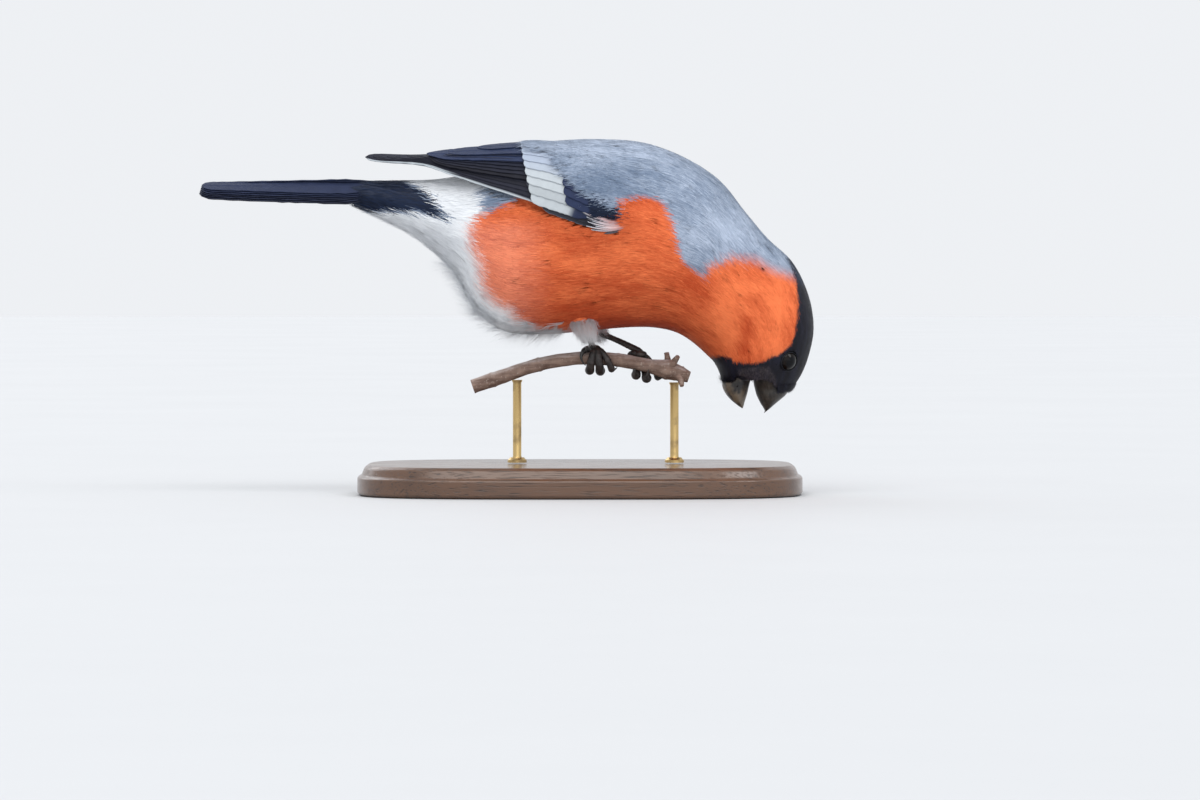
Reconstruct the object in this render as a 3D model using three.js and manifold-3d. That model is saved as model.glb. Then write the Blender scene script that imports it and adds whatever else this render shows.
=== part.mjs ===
// A male bullfinch reaching down from a cut twig: a still, life-size model on a museum stand.
// Sizes are millimetres. +X is the way the bird faces, +Y its left side and +Z up. The origin is
// the middle of the stand's underside. The bird is worked out with zero height at the twig's
// axis under its feet, and the finished group is lifted by the height of the perch.
import * as THREE from "three";
import { mergeVertices } from "three/addons/utils/BufferGeometryUtils.js";
import Module from "manifold-3d";

const wasm = await Module();
wasm.setup();

// Driving dimensions
const GAP = 0.3; // air between neighbouring pieces
const PERCH_HEIGHT = 36; // axis of the twig above the floor
const HEAD_TURN = THREE.MathUtils.degToRad(6); // the throat is turned towards the right side
const RIGHT = -1;
const LEFT = 1;

const vec = (x, y, z) => new THREE.Vector3(x, y, z);
const { lerp, smoothstep, degToRad } = THREE.MathUtils;

// Finishes of the real surfaces
const finish = (color, roughness, metalness = 0) =>
  new THREE.MeshStandardMaterial({ color, roughness, metalness });
const greyPlumage = finish(0x8c9bb0, 0.9);
const orangePlumage = finish(0xdf6a38, 0.9);
const blackPlumage = finish(0x14151f, 0.55);
const flightFeather = finish(0x1d2030, 0.5);
const whitePlumage = finish(0xe4e6ea, 0.9);
const billHorn = finish(0x1b1a1c, 0.4);
const eyeGloss = finish(0x0a0708, 0.05);
const legSkin = finish(0x3a2c28, 0.6);
const bark = finish(0x6d5a50, 0.85);
const standWood = finish(0x3a2a20, 0.45);
const standBrass = finish(0x8a7442, 0.35, 1);

// Closed solids

// A solid from corner points and triangles, turned the right way out.
function solid(points, triangles) {
  const vertProperties = new Float32Array(points.flatMap((p) => [p.x, p.y, p.z]));
  const build = (faces) =>
    new wasm.Manifold(
      new wasm.Mesh({ numProp: 3, vertProperties, triVerts: new Uint32Array(faces) }),
    );
  const made = build(triangles);
  return made.volume() > 0 ? made : build([...triangles].reverse());
}

// A solid from one of three.js's closed geometries.
function solidOf(geometry) {
  const bare = geometry.clone();
  bare.deleteAttribute("normal");
  bare.deleteAttribute("uv");
  const merged = mergeVertices(bare, 1e-4);
  const place = merged.attributes.position;
  const points = Array.from({ length: place.count }, (_, i) =>
    vec(place.getX(i), place.getY(i), place.getZ(i)),
  );
  return solid(points, Array.from(merged.index.array));
}

// The surface through rings that all have as many points, with a flat cap on each end.
function loft(rings) {
  const count = rings[0].length;
  const middle = (ring) =>
    ring.reduce((sum, p) => sum.add(p), vec(0, 0, 0)).divideScalar(count);
  const points = [...rings.flat(), middle(rings[0]), middle(rings.at(-1))];
  const firstCap = rings.length * count;
  const lastRing = firstCap - count;
  const triangles = [];
  for (let i = 0; i < count; i++) {
    const j = (i + 1) % count;
    for (let r = 0; r < lastRing; r += count) {
      triangles.push(r + i, r + j, r + j + count);
      triangles.push(r + i, r + j + count, r + i + count);
    }
    triangles.push(firstCap, j, i);
    triangles.push(firstCap + 1, lastRing + i, lastRing + j);
  }
  return solid(points, triangles);
}

// A thin plate between two sheets of points, both split into triangles the same way.
function plate(upper, lower) {
  const columns = upper[0].length;
  const size = upper.length * columns;
  const points = [...upper.flat(), ...lower.flat()];
  const triangles = [];
  const wall = (a, b) => triangles.push(a, b, b + size, a, b + size, a + size);
  for (let r = 0; r + 1 < upper.length; r++) {
    const row = r * columns;
    for (let a = row; a + 1 < row + columns; a++) {
      const [b, c, d] = [a + 1, a + columns, a + columns + 1];
      triangles.push(a, d, b, a, c, d);
      triangles.push(a + size, b + size, d + size, a + size, d + size, c + size);
    }
    wall(row + columns, row);
    wall(row + columns - 1, row + 2 * columns - 1);
  }
  for (let c = 0; c + 1 < columns; c++) {
    wall(c, c + 1);
    wall(size - columns + c + 1, size - columns + c);
  }
  return solid(points, triangles);
}

// A round tube along a smooth path, whose radius follows the share of the way along it.
function tube(path, radiusAt, steps, sides = 10) {
  const curve = new THREE.CatmullRomCurve3(path);
  const frames = curve.computeFrenetFrames(steps);
  const rings = Array.from({ length: steps + 1 }, (_, k) => {
    const centre = curve.getPointAt(k / steps);
    const radius = radiusAt(k / steps);
    return Array.from({ length: sides }, (_, i) => {
      const turn = (2 * Math.PI * i) / sides;
      return centre
        .clone()
        .addScaledVector(frames.normals[k], radius * Math.cos(turn))
        .addScaledVector(frames.binormals[k], radius * Math.sin(turn));
    });
  });
  return loft(rings);
}

const join = (pieces) => pieces.reduce((all, piece) => all.add(piece));

// The largest closed surface of a solid, which drops loose scraps and fills sealed hollows.
const largest = (made) =>
  made.decompose().reduce((best, piece) => (piece.volume() > best.volume() ? piece : best));

const model = new THREE.Group();

function addNode(name, made, material) {
  const { numProp, vertProperties, triVerts } = largest(made).getMesh();
  const geometry = new THREE.BufferGeometry();
  const place = new THREE.InterleavedBuffer(vertProperties, numProp);
  geometry.setAttribute("position", new THREE.InterleavedBufferAttribute(place, 3, 0));
  geometry.setIndex(new THREE.BufferAttribute(triVerts, 1));
  const flat = geometry.toNonIndexed();
  flat.computeVertexNormals();
  const mesh = new THREE.Mesh(flat, material);
  mesh.name = name;
  model.add(mesh);
}

// Body, neck and head

// The plumage's outline at stations from the tail's root to the root of the bill: [x, height] on
// the back, [x, height] opposite it on the throat or belly, and the width from side to side.
const STATIONS = [
  { back: [-52.7, 48.4], belly: [-56.2, 39.5], wide: 10 },
  { back: [-45.9, 48.5], belly: [-48.1, 35.7], wide: 14 },
  { back: [-38.6, 48.8], belly: [-40.5, 30.3], wide: 20 },
  { back: [-30.3, 51.2], belly: [-33.5, 23.0], wide: 27 },
  { back: [-21.6, 54.6], belly: [-28.6, 13.8], wide: 35 },
  { back: [-13.5, 57.6], belly: [-20.3, 7.8], wide: 41 },
  { back: [-4.1, 59.2], belly: [-9.5, 7.0], wide: 44.5 },
  { back: [6.8, 59.6], belly: [2.7, 8.0], wide: 46 },
  { back: [17.6, 58.6], belly: [13.5, 8.9], wide: 45 },
  { back: [28.4, 54.6], belly: [20.3, 8.8], wide: 42 },
  { back: [37.8, 48.4], belly: [25.9, 7.6], wide: 38 },
  { back: [44.6, 40.0], belly: [29.7, 5.4], wide: 34.5 },
  { back: [50.8, 32.7], belly: [32.4, 3.2], wide: 31.5 },
  { back: [57.4, 26.4], belly: [34.6, 1.1], wide: 28.5 },
  { back: [61.8, 17.2], belly: [36.2, -0.5], wide: 26.5 },
  { back: [63.1, 8.6], belly: [37.6, -3.2], wide: 24.8 },
  { back: [62.1, 2.4], belly: [38.4, -5.4], wide: 22 },
  { back: [60.0, -3.5], belly: [39.7, -6.8], wide: 17.8 },
  { back: [57.0, -8.2], belly: [41.9, -7.6], wide: 12.5 },
];
const BILL_ROOT = STATIONS.length - 1;
const NECK_FROM = 10.5; // stations where the body is divided
const HEAD_FROM = 13;
const TURN_FROM = 10; // the neck twists between these stations
const TURN_TO = 15;
const FULLNESS = 0.94; // a cross-section a little fuller than an ellipse

const backLine = new THREE.CatmullRomCurve3(STATIONS.map((s) => vec(s.back[0], 0, s.back[1])));
const bellyLine = new THREE.CatmullRomCurve3(
  STATIONS.map((s) => vec(s.belly[0], 0, s.belly[1])),
);
const widthLine = new THREE.CatmullRomCurve3(STATIONS.map((s, i) => vec(i, s.wide, 0)));

// The middle, directions and half sizes of the body's cross-section at a station.
function section(station) {
  const share = station / BILL_ROOT;
  const back = backLine.getPoint(share);
  const belly = bellyLine.getPoint(share);
  const up = back.clone().sub(belly).normalize();
  const side = vec(0, 1, 0);
  const ahead = side.clone().cross(up);
  const turn = -HEAD_TURN * smoothstep(station, TURN_FROM, TURN_TO);
  up.applyAxisAngle(ahead, turn);
  side.applyAxisAngle(ahead, turn);
  return {
    centre: back.clone().lerp(belly, 0.5),
    up,
    side,
    ahead,
    high: back.distanceTo(belly) / 2,
    wide: widthLine.getPoint(share).y / 2,
  };
}

// A point of the plumage: the angle runs from the middle of the back to the bird's left.
function plumage(cut, angle, grow = 0) {
  const full = (v) => Math.sign(v) * Math.abs(v) ** FULLNESS;
  return cut.centre
    .clone()
    .addScaledVector(cut.up, full(Math.cos(angle)) * (cut.high + grow))
    .addScaledVector(cut.side, full(Math.sin(angle)) * (cut.wide + grow));
}

function bodyLength(from, to, { grow = 0, perStation = 2, sides = 24 } = {}) {
  const steps = Math.max(2, Math.round((to - from) * perStation));
  const rings = Array.from({ length: steps + 1 }, (_, k) => {
    const cut = section(lerp(from, to, k / steps));
    return Array.from({ length: sides }, (_, i) =>
      plumage(cut, (2 * Math.PI * i) / sides, grow),
    );
  });
  return loft(rings);
}

// The share of a station that takes up the gap between two lengths of the body.
const gapAt = (station) =>
  GAP / section(station).centre.distanceTo(section(station + 1).centre);

// Eyes: a ball sunk in a socket, and a ring of lid round the opening
const EYE = { station: 16.15, angle: degToRad(65.5), ball: 3.0, stands: 0.75 };
const LID = { ring: 2.5, thick: 0.42 };

function eyeFrame(side) {
  const cut = section(EYE.station);
  const surface = plumage(cut, side * EYE.angle);
  const out = surface.clone().sub(cut.centre).normalize();
  const centre = surface.clone().addScaledVector(out, EYE.stands - EYE.ball);
  return { surface, out, centre };
}

function ballAt(centre, radius, around = 14, down = 10) {
  const ball = new THREE.SphereGeometry(radius, around, down);
  return solidOf(ball.translate(centre.x, centre.y, centre.z));
}

function lid(side) {
  const { surface, out } = eyeFrame(side);
  const ring = new THREE.TorusGeometry(LID.ring, LID.thick, 5, 18);
  ring.applyQuaternion(new THREE.Quaternion().setFromUnitVectors(vec(0, 0, 1), out));
  return solidOf(ring.translate(surface.x, surface.y, surface.z));
}

const socket = (side) => ballAt(eyeFrame(side).centre, EYE.ball + GAP);

const torso = bodyLength(0, NECK_FROM);
const neck = bodyLength(NECK_FROM + gapAt(NECK_FROM), HEAD_FROM);
const skull = bodyLength(HEAD_FROM + gapAt(HEAD_FROM), BILL_ROOT, { perStation: 2.4 });
const lidded = [LEFT, RIGHT].reduce(
  (made, side) => made.add(lid(side)).subtract(socket(side)),
  skull,
);
addNode("torso", torso, orangePlumage);
addNode("neck", neck, greyPlumage);
addNode("eye_right", ballAt(eyeFrame(RIGHT).centre, EYE.ball), eyeGloss);
addNode("eye_left", ballAt(eyeFrame(LEFT).centre, EYE.ball), eyeGloss);

// Bill: short and swollen, held open, with its root flat against the face

// Profiles by distance from the root: [distance, top, bottom, half width]
const UPPER_BILL = [
  [0, 6.8, -2.5, 4.7],
  [1.3, 6.2, -2.1, 4.5],
  [2.6, 4.8, -1.5, 3.9],
  [3.85, 3.4, -0.8, 3.0],
  [5, 2.2, 0, 1.8],
  [5.8, 1.3, 0.4, 0.9],
  [6.3, 0.7, 0.3, 0.3],
];
const LOWER_BILL = [
  [0, 0, -7.0, 4.1],
  [2, 0, -7.6, 4.3],
  [3.5, 0, -7.3, 4.1],
  [5, -0.1, -6.2, 3.5],
  [6.4, -0.2, -4.4, 2.5],
  [7.5, -0.2, -2.2, 1.2],
  [8.0, -0.3, -0.9, 0.4],
];
const GAPE = { ahead: -2.4, up: -3.2, open: degToRad(11) };
const NOSTRIL = { ahead: 1.3, up: 4.6, aside: 3.2, radius: 0.55 };

const billRoot = section(BILL_ROOT);
const inHead = (ahead, up, side) =>
  billRoot.centre
    .clone()
    .addScaledVector(billRoot.ahead, ahead)
    .addScaledVector(billRoot.up, up)
    .addScaledVector(billRoot.side, side);

// Rings round a mandible, flat along the cutting edges and round on the other face.
function mandible(profile, place, roundTop) {
  const sides = 16;
  return loft(
    profile.map(([ahead, top, bottom, wide]) =>
      Array.from({ length: sides }, (_, i) => {
        const turn = (2 * Math.PI * i) / sides;
        const share = (1 + (roundTop ? 1 : -1) * Math.sin(turn)) / 2;
        const bulge = share ** (roundTop ? 0.8 : 0.7);
        const edge = roundTop ? bottom : top;
        const crest = roundTop ? top : bottom;
        return place(ahead, lerp(edge, crest, bulge), wide * Math.cos(turn));
      }),
    ),
  );
}

const pit = (side) =>
  ballAt(inHead(NOSTRIL.ahead, NOSTRIL.up, side * NOSTRIL.aside), NOSTRIL.radius, 8, 6);

// A flat ring of points in front of the face, wide enough to cover the bill's root.
const coverRing = (ahead) =>
  Array.from({ length: 12 }, (_, i) => {
    const turn = (2 * Math.PI * i) / 12;
    return inHead(ahead, 14 * Math.cos(turn), 10 * Math.sin(turn));
  });
const face = bodyLength(HEAD_FROM, BILL_ROOT, { grow: GAP }).add(
  loft([coverRing(0), coverRing(GAP)]),
);

const upperBill = mandible(UPPER_BILL, inHead, true)
  .subtract(face)
  .subtract(pit(LEFT))
  .subtract(pit(RIGHT));
const inLowerBill = (ahead, up, side) =>
  inHead(
    GAPE.ahead + ahead * Math.cos(GAPE.open) + up * Math.sin(GAPE.open),
    GAPE.up - ahead * Math.sin(GAPE.open) + up * Math.cos(GAPE.open),
    side,
  );

// The corner of the mouth runs back into the face between the two halves of the bill.
const mouth = loft(
  [-9, 9].map((side) => [
    inHead(GAPE.ahead, GAPE.up - 0.3, side),
    inHead(GAPE.ahead, GAPE.up + 0.3, side),
    inHead(1, UPPER_BILL[0][2] + 0.2, side),
    inHead(1, GAPE.up - 0.9, side),
  ]),
);
addNode("head", lidded.subtract(mouth), blackPlumage);
addNode("bill_upper", upperBill, billHorn);
addNode("bill_lower", mandible(LOWER_BILL, inLowerBill, false).subtract(face), billHorn);

// Feathers

// One vane laid on a surface. The surface takes a share along, a share across and a lift off it,
// and gives a point. The shaft runs from root to tip in those shares. Tilt lifts the edge at the
// lower share across above its neighbour, as slates overlap.
const VANE = { shaft: 0.2, edge: 0.4, thick: 0.55, tip: 0.35 };
function vane(surface, form) {
  const { root, tip, wide, lift, tilt = 0, rows = 3, rootWide = 0.5, blunt = 0.2 } = form;
  const step = 0.01;
  const shaft = (share, aside = 0, rise = 0) =>
    surface(lerp(root[0], tip[0], share), lerp(root[1], tip[1], share) + aside, lift + rise);
  const upper = [];
  const lower = [];
  for (let k = 0; k <= rows; k++) {
    const share = k === rows ? 1 : (k / (rows - 1)) * (1 - blunt);
    const middle = shaft(share);
    const along = shaft(Math.min(1, share + step)).sub(shaft(share - step)).normalize();
    const across = shaft(share, step).sub(shaft(share, -step));
    across.addScaledVector(along, -across.dot(along)).normalize();
    const out = shaft(share, 0, 1).sub(middle).normalize();
    const half = (wide / 2) * Math.min(1, rootWide + 1.8 * share) * (k === rows ? VANE.tip : 1);
    const at = (aside, rise) =>
      middle
        .clone()
        .addScaledVector(across, aside * half)
        .addScaledVector(out, rise - tilt * aside * half);
    upper.push([at(-1, 0), at(0, VANE.shaft), at(1, 0)]);
    lower.push([at(-1, -VANE.edge), at(0, -VANE.thick), at(1, -VANE.edge)]);
  }
  return plate(upper, lower);
}

// Wings: folded along the flanks, with the tips over the root of the tail

// Sections from the bend of the wing to its tip: [x, out, height] of the lower and upper edge,
// how far the feathers bow out between them, and the depth of the arm and quills beneath.
const WING = [
  { low: [16.2, 21.6, 36.2], top: [14.5, 18.6, 45.5], bow: 1.8, deep: 3 },
  { low: [8.1, 23.8, 34.2], top: [6.8, 15.4, 52.4], bow: 5.0, deep: 5 },
  { low: [-2.7, 23.6, 36.8], top: [-2.7, 9.8, 57.0], bow: 5.2, deep: 5 },
  { low: [-13.5, 21.4, 40.8], top: [-13.5, 6.2, 58.4], bow: 4.4, deep: 4 },
  { low: [-24.3, 16.8, 45.1], top: [-24.3, 4.8, 57.9], bow: 3.0, deep: 3 },
  { low: [-33.8, 12.0, 48.9], top: [-33.8, 4.0, 57.1], bow: 1.6, deep: 2 },
  { low: [-40.5, 9.0, 51.4], top: [-40.5, 3.8, 56.4], bow: 0.8, deep: 1.2 },
  { low: [-48.6, 6.8, 53.3], top: [-48.6, 4.0, 56.0], bow: 0.4, deep: 0.8 },
  { low: [-57.8, 5.0, 54.6], top: [-57.8, 4.4, 56.0], bow: 0.1, deep: 0.5 },
];
const wingLow = new THREE.CatmullRomCurve3(WING.map((s) => vec(...s.low)));
const wingTop = new THREE.CatmullRomCurve3(WING.map((s) => vec(...s.top)));
const wingForm = new THREE.CatmullRomCurve3(WING.map((s, i) => vec(i, s.bow, s.deep)));

// The wing's outer face. Along runs from the bend (0) to the tip (1), up from the lower edge (0)
// to the upper edge (1).
const wingFace = (side) => (along, up, lift) => {
  const low = wingLow.getPoint(along);
  const top = wingTop.getPoint(along);
  const chord = top.clone().sub(low);
  const backward = wingTop.getTangent(along);
  const out = backward.cross(chord).normalize();
  const bow = wingForm.getPoint(along).y * 4 * up * (1 - up);
  const place = low.addScaledVector(chord, up).addScaledVector(out, bow + lift);
  place.y *= side;
  return place;
};

function wingArm(side, from, to, steps) {
  const face = wingFace(side);
  const rows = 5;
  const rings = Array.from({ length: steps + 1 }, (_, k) => {
    const along = lerp(from, to, k / steps);
    const deep = wingForm.getPoint(along).z;
    const outer = Array.from({ length: rows + 1 }, (_, i) => face(along, i / rows, 0));
    const inner = Array.from({ length: rows + 1 }, (_, i) => face(along, 1 - i / rows, -deep));
    return [...outer, ...inner];
  });
  return loft(rings);
}

// Tiers of feathers from the lowest layer to the top one: how many, where the root and the tip
// of the first and of the last one lie on the wing's face, and their width and lift.
const WING_TIERS = {
  primaries: {
    count: 8,
    root: [[0.2, 0.15], [0.36, 0.5]],
    tip: [[0.985, 0.4], [0.8, 0.75]],
    wide: 5.2,
    lift: 0.1,
    tilt: 0.22,
    rows: 3,
  },
  secondaries: {
    count: 5,
    root: [[0.3, 0.42], [0.3, 0.72]],
    tip: [[0.72, 0.5], [0.66, 0.86]],
    wide: 5.6,
    lift: 0.5,
    tilt: 0.24,
    rows: 3,
  },
  tertials: {
    count: 3,
    root: [[0.28, 0.76], [0.28, 0.9]],
    tip: [[0.68, 0.84], [0.56, 0.93]],
    wide: 6.4,
    lift: 1.0,
    tilt: 0.2,
    rows: 3,
  },
  primaryCoverts: {
    count: 3,
    root: [[0.15, 0.12], [0.16, 0.24]],
    tip: [[0.36, 0.13], [0.37, 0.27]],
    wide: 4.4,
    lift: 0.9,
    tilt: 0.25,
    rows: 2,
  },
  greaterCoverts: {
    count: 7,
    root: [[0.16, 0.26], [0.17, 0.93]],
    tip: [[0.345, 0.27], [0.405, 0.92]],
    wide: 5.4,
    lift: 1.1,
    tilt: 0.22,
    rows: 2,
  },
};

// A number that two ends of a tier share between them.
const between = ([first, last], share) => first.map((v, i) => lerp(v, last[i], share));

function wingFeathers(side) {
  const face = wingFace(side);
  return Object.values(WING_TIERS).flatMap(({ count, root, tip, ...form }) =>
    Array.from({ length: count }, (_, k) => {
      const share = k / (count - 1);
      return vane(face, { root: between(root, share), tip: between(tip, share), ...form });
    }),
  );
}

const SHOULDER_END = 0.13;
const clearOfBody = bodyLength(0, BILL_ROOT, { grow: GAP, perStation: 1.5, sides: 24 });
for (const [side, name] of [[LEFT, "left"], [RIGHT, "right"]]) {
  const shoulder = wingArm(side, 0, SHOULDER_END, 3);
  const behind = SHOULDER_END + GAP / 80;
  const feathers = join([wingArm(side, behind, 0.8, 8), ...wingFeathers(side)]);
  addNode(`wing_${name}_shoulder`, shoulder.subtract(clearOfBody), greyPlumage);
  addNode(`wing_${name}_feathers`, feathers.subtract(clearOfBody), flightFeather);
}

// Tail: twelve feathers folded into a low roof, the middle pair on top

const TAIL = {
  root: -52,
  tip: -102.7,
  ridge: 47.9,
  half: 8.5, // across the roof from its ridge to its edge
  slopes: [degToRad(48), degToRad(19)], // of the roof at the root and at the tip
  crease: 1.6, // rounding of the ridge
  pairs: 6,
  wide: 6.8,
  layer: 0.38, // each pair lies this far below the last one
};

function tailFace(along, across, lift) {
  const slope = lerp(...TAIL.slopes, along);
  const reach = across * TAIL.half;
  const fall = Math.hypot(reach, TAIL.crease) - TAIL.crease;
  const lean = slope * Math.min(1, Math.abs(reach) / TAIL.crease) * Math.sign(reach);
  return vec(
    lerp(TAIL.root, TAIL.tip, along),
    reach * Math.cos(slope) + lift * Math.sin(lean),
    TAIL.ridge - fall * Math.sin(slope) + lift * Math.cos(lean),
  );
}

function tailFeather(pair, side) {
  const share = pair / (TAIL.pairs - 1);
  return vane(tailFace, {
    root: [0.11, side * lerp(0.3, 0.55, share)],
    tip: [lerp(0.985, 1, share), side * lerp(0.37, 0.6, share)],
    wide: TAIL.wide,
    lift: -TAIL.layer * pair - (side === LEFT ? 0.2 : 0),
    rows: 3,
    rootWide: 0.85,
    blunt: 0.06,
  });
}

// The fleshy root with its coverts, from the end of the body to a thin edge under the feathers:
// [distance from the body's end, top, bottom, half width]
const TAIL_ROOT = [
  [4.5, 48.0, 41.2, 4.9],
  [9, 47.6, 42.6, 4.6],
  [14, 47.0, 44.6, 3.4],
];

function tailRoot() {
  const end = section(0);
  const sides = 16;
  const turns = Array.from({ length: sides }, (_, i) => (2 * Math.PI * i) / sides);
  const joint = turns.map((turn) => plumage(end, turn, -0.2).addScaledVector(end.ahead, -GAP));
  const rest = TAIL_ROOT.map(([behind, top, bottom, half]) =>
    turns.map((turn) =>
      vec(
        -54.4 - behind,
        half * Math.sin(turn),
        lerp(bottom, top, (1 + Math.cos(turn)) / 2),
      ),
    ),
  );
  return loft([joint, ...rest]);
}

const tailFeathers = [LEFT, RIGHT].flatMap((side) =>
  Array.from({ length: TAIL.pairs }, (_, pair) => tailFeather(pair, side)),
);
addNode("tail", join([tailRoot(), ...tailFeathers]), flightFeather);

// Perch: a cut length of twig with a knotty joint, on two rods over a wooden base

// Along the twig's axis: [x, height, radius]
const TWIG = [
  [-29, -7.2, 1.95],
  [-20.3, -4.2, 1.85],
  [-13.5, -1.9, 1.8],
  [-6.8, -0.3, 1.75],
  [0, 0.5, 1.75],
  [6, 0.45, 1.75],
  [13.5, -0.5, 1.8],
  [19, -1.7, 1.85],
  [23.6, -2.6, 2.5],
  [26, -3.4, 2.3],
  [29.5, -4.6, 1.5],
];
const twigAxis = new THREE.CatmullRomCurve3(TWIG.map(([x, z]) => vec(x, 0, z)));
const twigRadius = new THREE.CatmullRomCurve3(TWIG.map(([, , radius], i) => vec(i, radius, 0)));

// The twig as a solid, or grown by a clearance for what rests on it.
function twig(grow = 0, sides = 10) {
  const steps = 22;
  const rings = Array.from({ length: steps + 1 }, (_, k) => {
    const centre = twigAxis.getPoint(k / steps);
    const ahead = twigAxis.getTangent(k / steps);
    const up = vec(-ahead.z, 0, ahead.x);
    const knotty = 1 + 0.05 * Math.sin(k * 2.4) * Math.cos(k * 0.9);
    const radius = twigRadius.getPoint(k / steps).y * (grow ? 1.05 : knotty) + grow;
    return Array.from({ length: sides }, (_, i) => {
      const turn = (2 * Math.PI * i) / sides;
      return centre
        .clone()
        .addScaledVector(up, radius * Math.cos(turn))
        .add(vec(0, radius * Math.sin(turn), 0));
    });
  });
  return loft(rings);
}

// Height of the twig's axis under a point along it.
function twigHeight(x) {
  const after = Math.max(1, TWIG.findIndex(([place]) => place > x));
  const [x0, z0] = TWIG[after - 1];
  const [x1, z1] = TWIG[after];
  return lerp(z0, z1, (x - x0) / (x1 - x0));
}

// Cut stalks round the knotty joint: [x, y, height] of the root and of the cut end
const STALKS = [
  [[23.6, 0.4, -1.6], [23.4, 1.2, 2.0]],
  [[24.5, -1.2, -1.6], [26.4, -3.2, 1.0]],
  [[25.5, 1.2, -3], [27.9, 3.6, -2.4]],
  [[26.6, -1.0, -4.2], [27.5, -2.9, -6.9]],
];
const stalks = STALKS.map(([root, end]) =>
  tube([vec(...root), vec(...root).lerp(vec(...end), 0.5), vec(...end)], (t) => lerp(1, 0.65, t), 2, 6),
);
addNode("perch", join([twig(), ...stalks]), bark);

const BASE = { long: 120, wide: 74, high: 8, squareness: 0.6 };
const ROD = { radius: 1.15, collar: 2.6, collarHigh: 1.4, places: { rear: -17, front: 25.5 } };
const floor = -PERCH_HEIGHT;

// The base's moulded edge: [height, inset]
const BASE_EDGE = [[0, 0.6], [0.6, 0], [4.6, 0], [5.2, 1.1], [7.2, 1.9], [8, 3]];

const baseRings = BASE_EDGE.map(([height, inset]) =>
  Array.from({ length: 36 }, (_, i) => {
    const turn = (2 * Math.PI * i) / 36;
    const rounded = (v) => Math.sign(v) * Math.abs(v) ** BASE.squareness;
    return vec(
      rounded(Math.cos(turn)) * (BASE.long / 2 - inset),
      rounded(Math.sin(turn)) * (BASE.wide / 2 - inset),
      floor + height,
    );
  }),
);
addNode("stand_base", loft(baseRings), standWood);

for (const [name, x] of Object.entries(ROD.places)) {
  const foot = floor + BASE.high + GAP;
  const top = twigHeight(x);
  const stem = new THREE.CylinderGeometry(ROD.radius, ROD.radius, top - foot, 16);
  stem.rotateX(Math.PI / 2).translate(x, 0, (top + foot) / 2);
  const collar = new THREE.CylinderGeometry(ROD.collar * 0.8, ROD.collar, ROD.collarHigh, 20);
  collar.rotateX(Math.PI / 2).translate(x, 0, foot + ROD.collarHigh / 2);
  const rod = solidOf(stem).add(solidOf(collar)).subtract(twig(GAP));
  addNode(`stand_rod_${name}`, rod, standBrass);
}

// Legs: a tuft of thigh feathers, a scuted shank and a gripping foot

// Places in the bird's frame for the right leg and for the left one.
const LEGS = {
  right: {
    side: RIGHT,
    tuft: [[0.4, -9, 12], [2.0, -5.4, 6.9]],
    tuftRadius: [4.2, 2.3],
    shank: [[2.0, -5.4, 6.9], [3.3, -2.0, 3.7]],
    footX: 3.9,
  },
  left: {
    side: LEFT,
    tuft: [[0.6, 10, 12.5], [5.0, 5.6, 7.4]],
    tuftRadius: [4.4, 2.2],
    shank: [[5.0, 5.6, 7.4], [16.2, 1.8, 2.3]],
    footX: 16.4,
  },
};
const SHANK = { radius: 0.85, plates: 5, raised: 0.13 };

// A straight round piece between two places, with a radius at shares along it.
function spindle(from, to, profile, sides = 10) {
  const way = to.clone().sub(from).normalize();
  const across = vec(0, 0, 1).cross(way).normalize();
  const up = way.clone().cross(across);
  return loft(
    profile.map(([share, radius]) => {
      const centre = from.clone().lerp(to, share);
      return Array.from({ length: sides }, (_, i) => {
        const turn = (2 * Math.PI * i) / sides;
        return centre
          .clone()
          .addScaledVector(across, radius * Math.cos(turn))
          .addScaledVector(up, radius * Math.sin(turn));
      });
    }),
  );
}

// Plates overlap down the shank, each standing out a little at its lower edge.
function shank(from, to) {
  const edges = Array.from({ length: SHANK.plates }, (_, i) => i / SHANK.plates);
  const profile = edges.flatMap((share) => [
    [share, SHANK.radius],
    [share + 0.92 / SHANK.plates, SHANK.radius + SHANK.raised],
  ]);
  return spindle(from, to, [...profile, [1, SHANK.radius]]);
}

// Toes: how far they slide along the twig, the angles they wrap from its top over the outer side,
// how far off its axis they start and end, and their thickness at the root and at the last pad.
const TOES = [
  { slide: [0.2, -1.9], wrap: [15, 198], off: [2.7, 3.3], thick: [0.8, 1.1] },
  { slide: [0.4, 1.9], wrap: [15, 212], off: [2.7, 3.5], thick: [0.85, 1.2] },
  { slide: [0.6, 5.2], wrap: [15, 176], off: [2.7, 2.9], thick: [0.8, 0.8] },
];
const HIND_TOE = [[0, 0.9, 2.5], [-2.0, 1.4, 2.5], [-3.3, 2.4, 1.7]];
const HIND_CLAW = [[-3.3, 2.4, 1.7], [-3.6, 2.85, 0.4], [-3.2, 2.8, -0.9], [-2.4, 2.5, -1.9]];
const CLAW = { wrap: 46, thick: [0.55, 0.14] };

// A point round the twig: an angle from its top over the given side, and a distance off its axis.
function roundTwig(x, side, angle, off) {
  const turn = degToRad(angle);
  return vec(x, side * off * Math.sin(turn), twigHeight(x) + off * Math.cos(turn));
}

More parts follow.
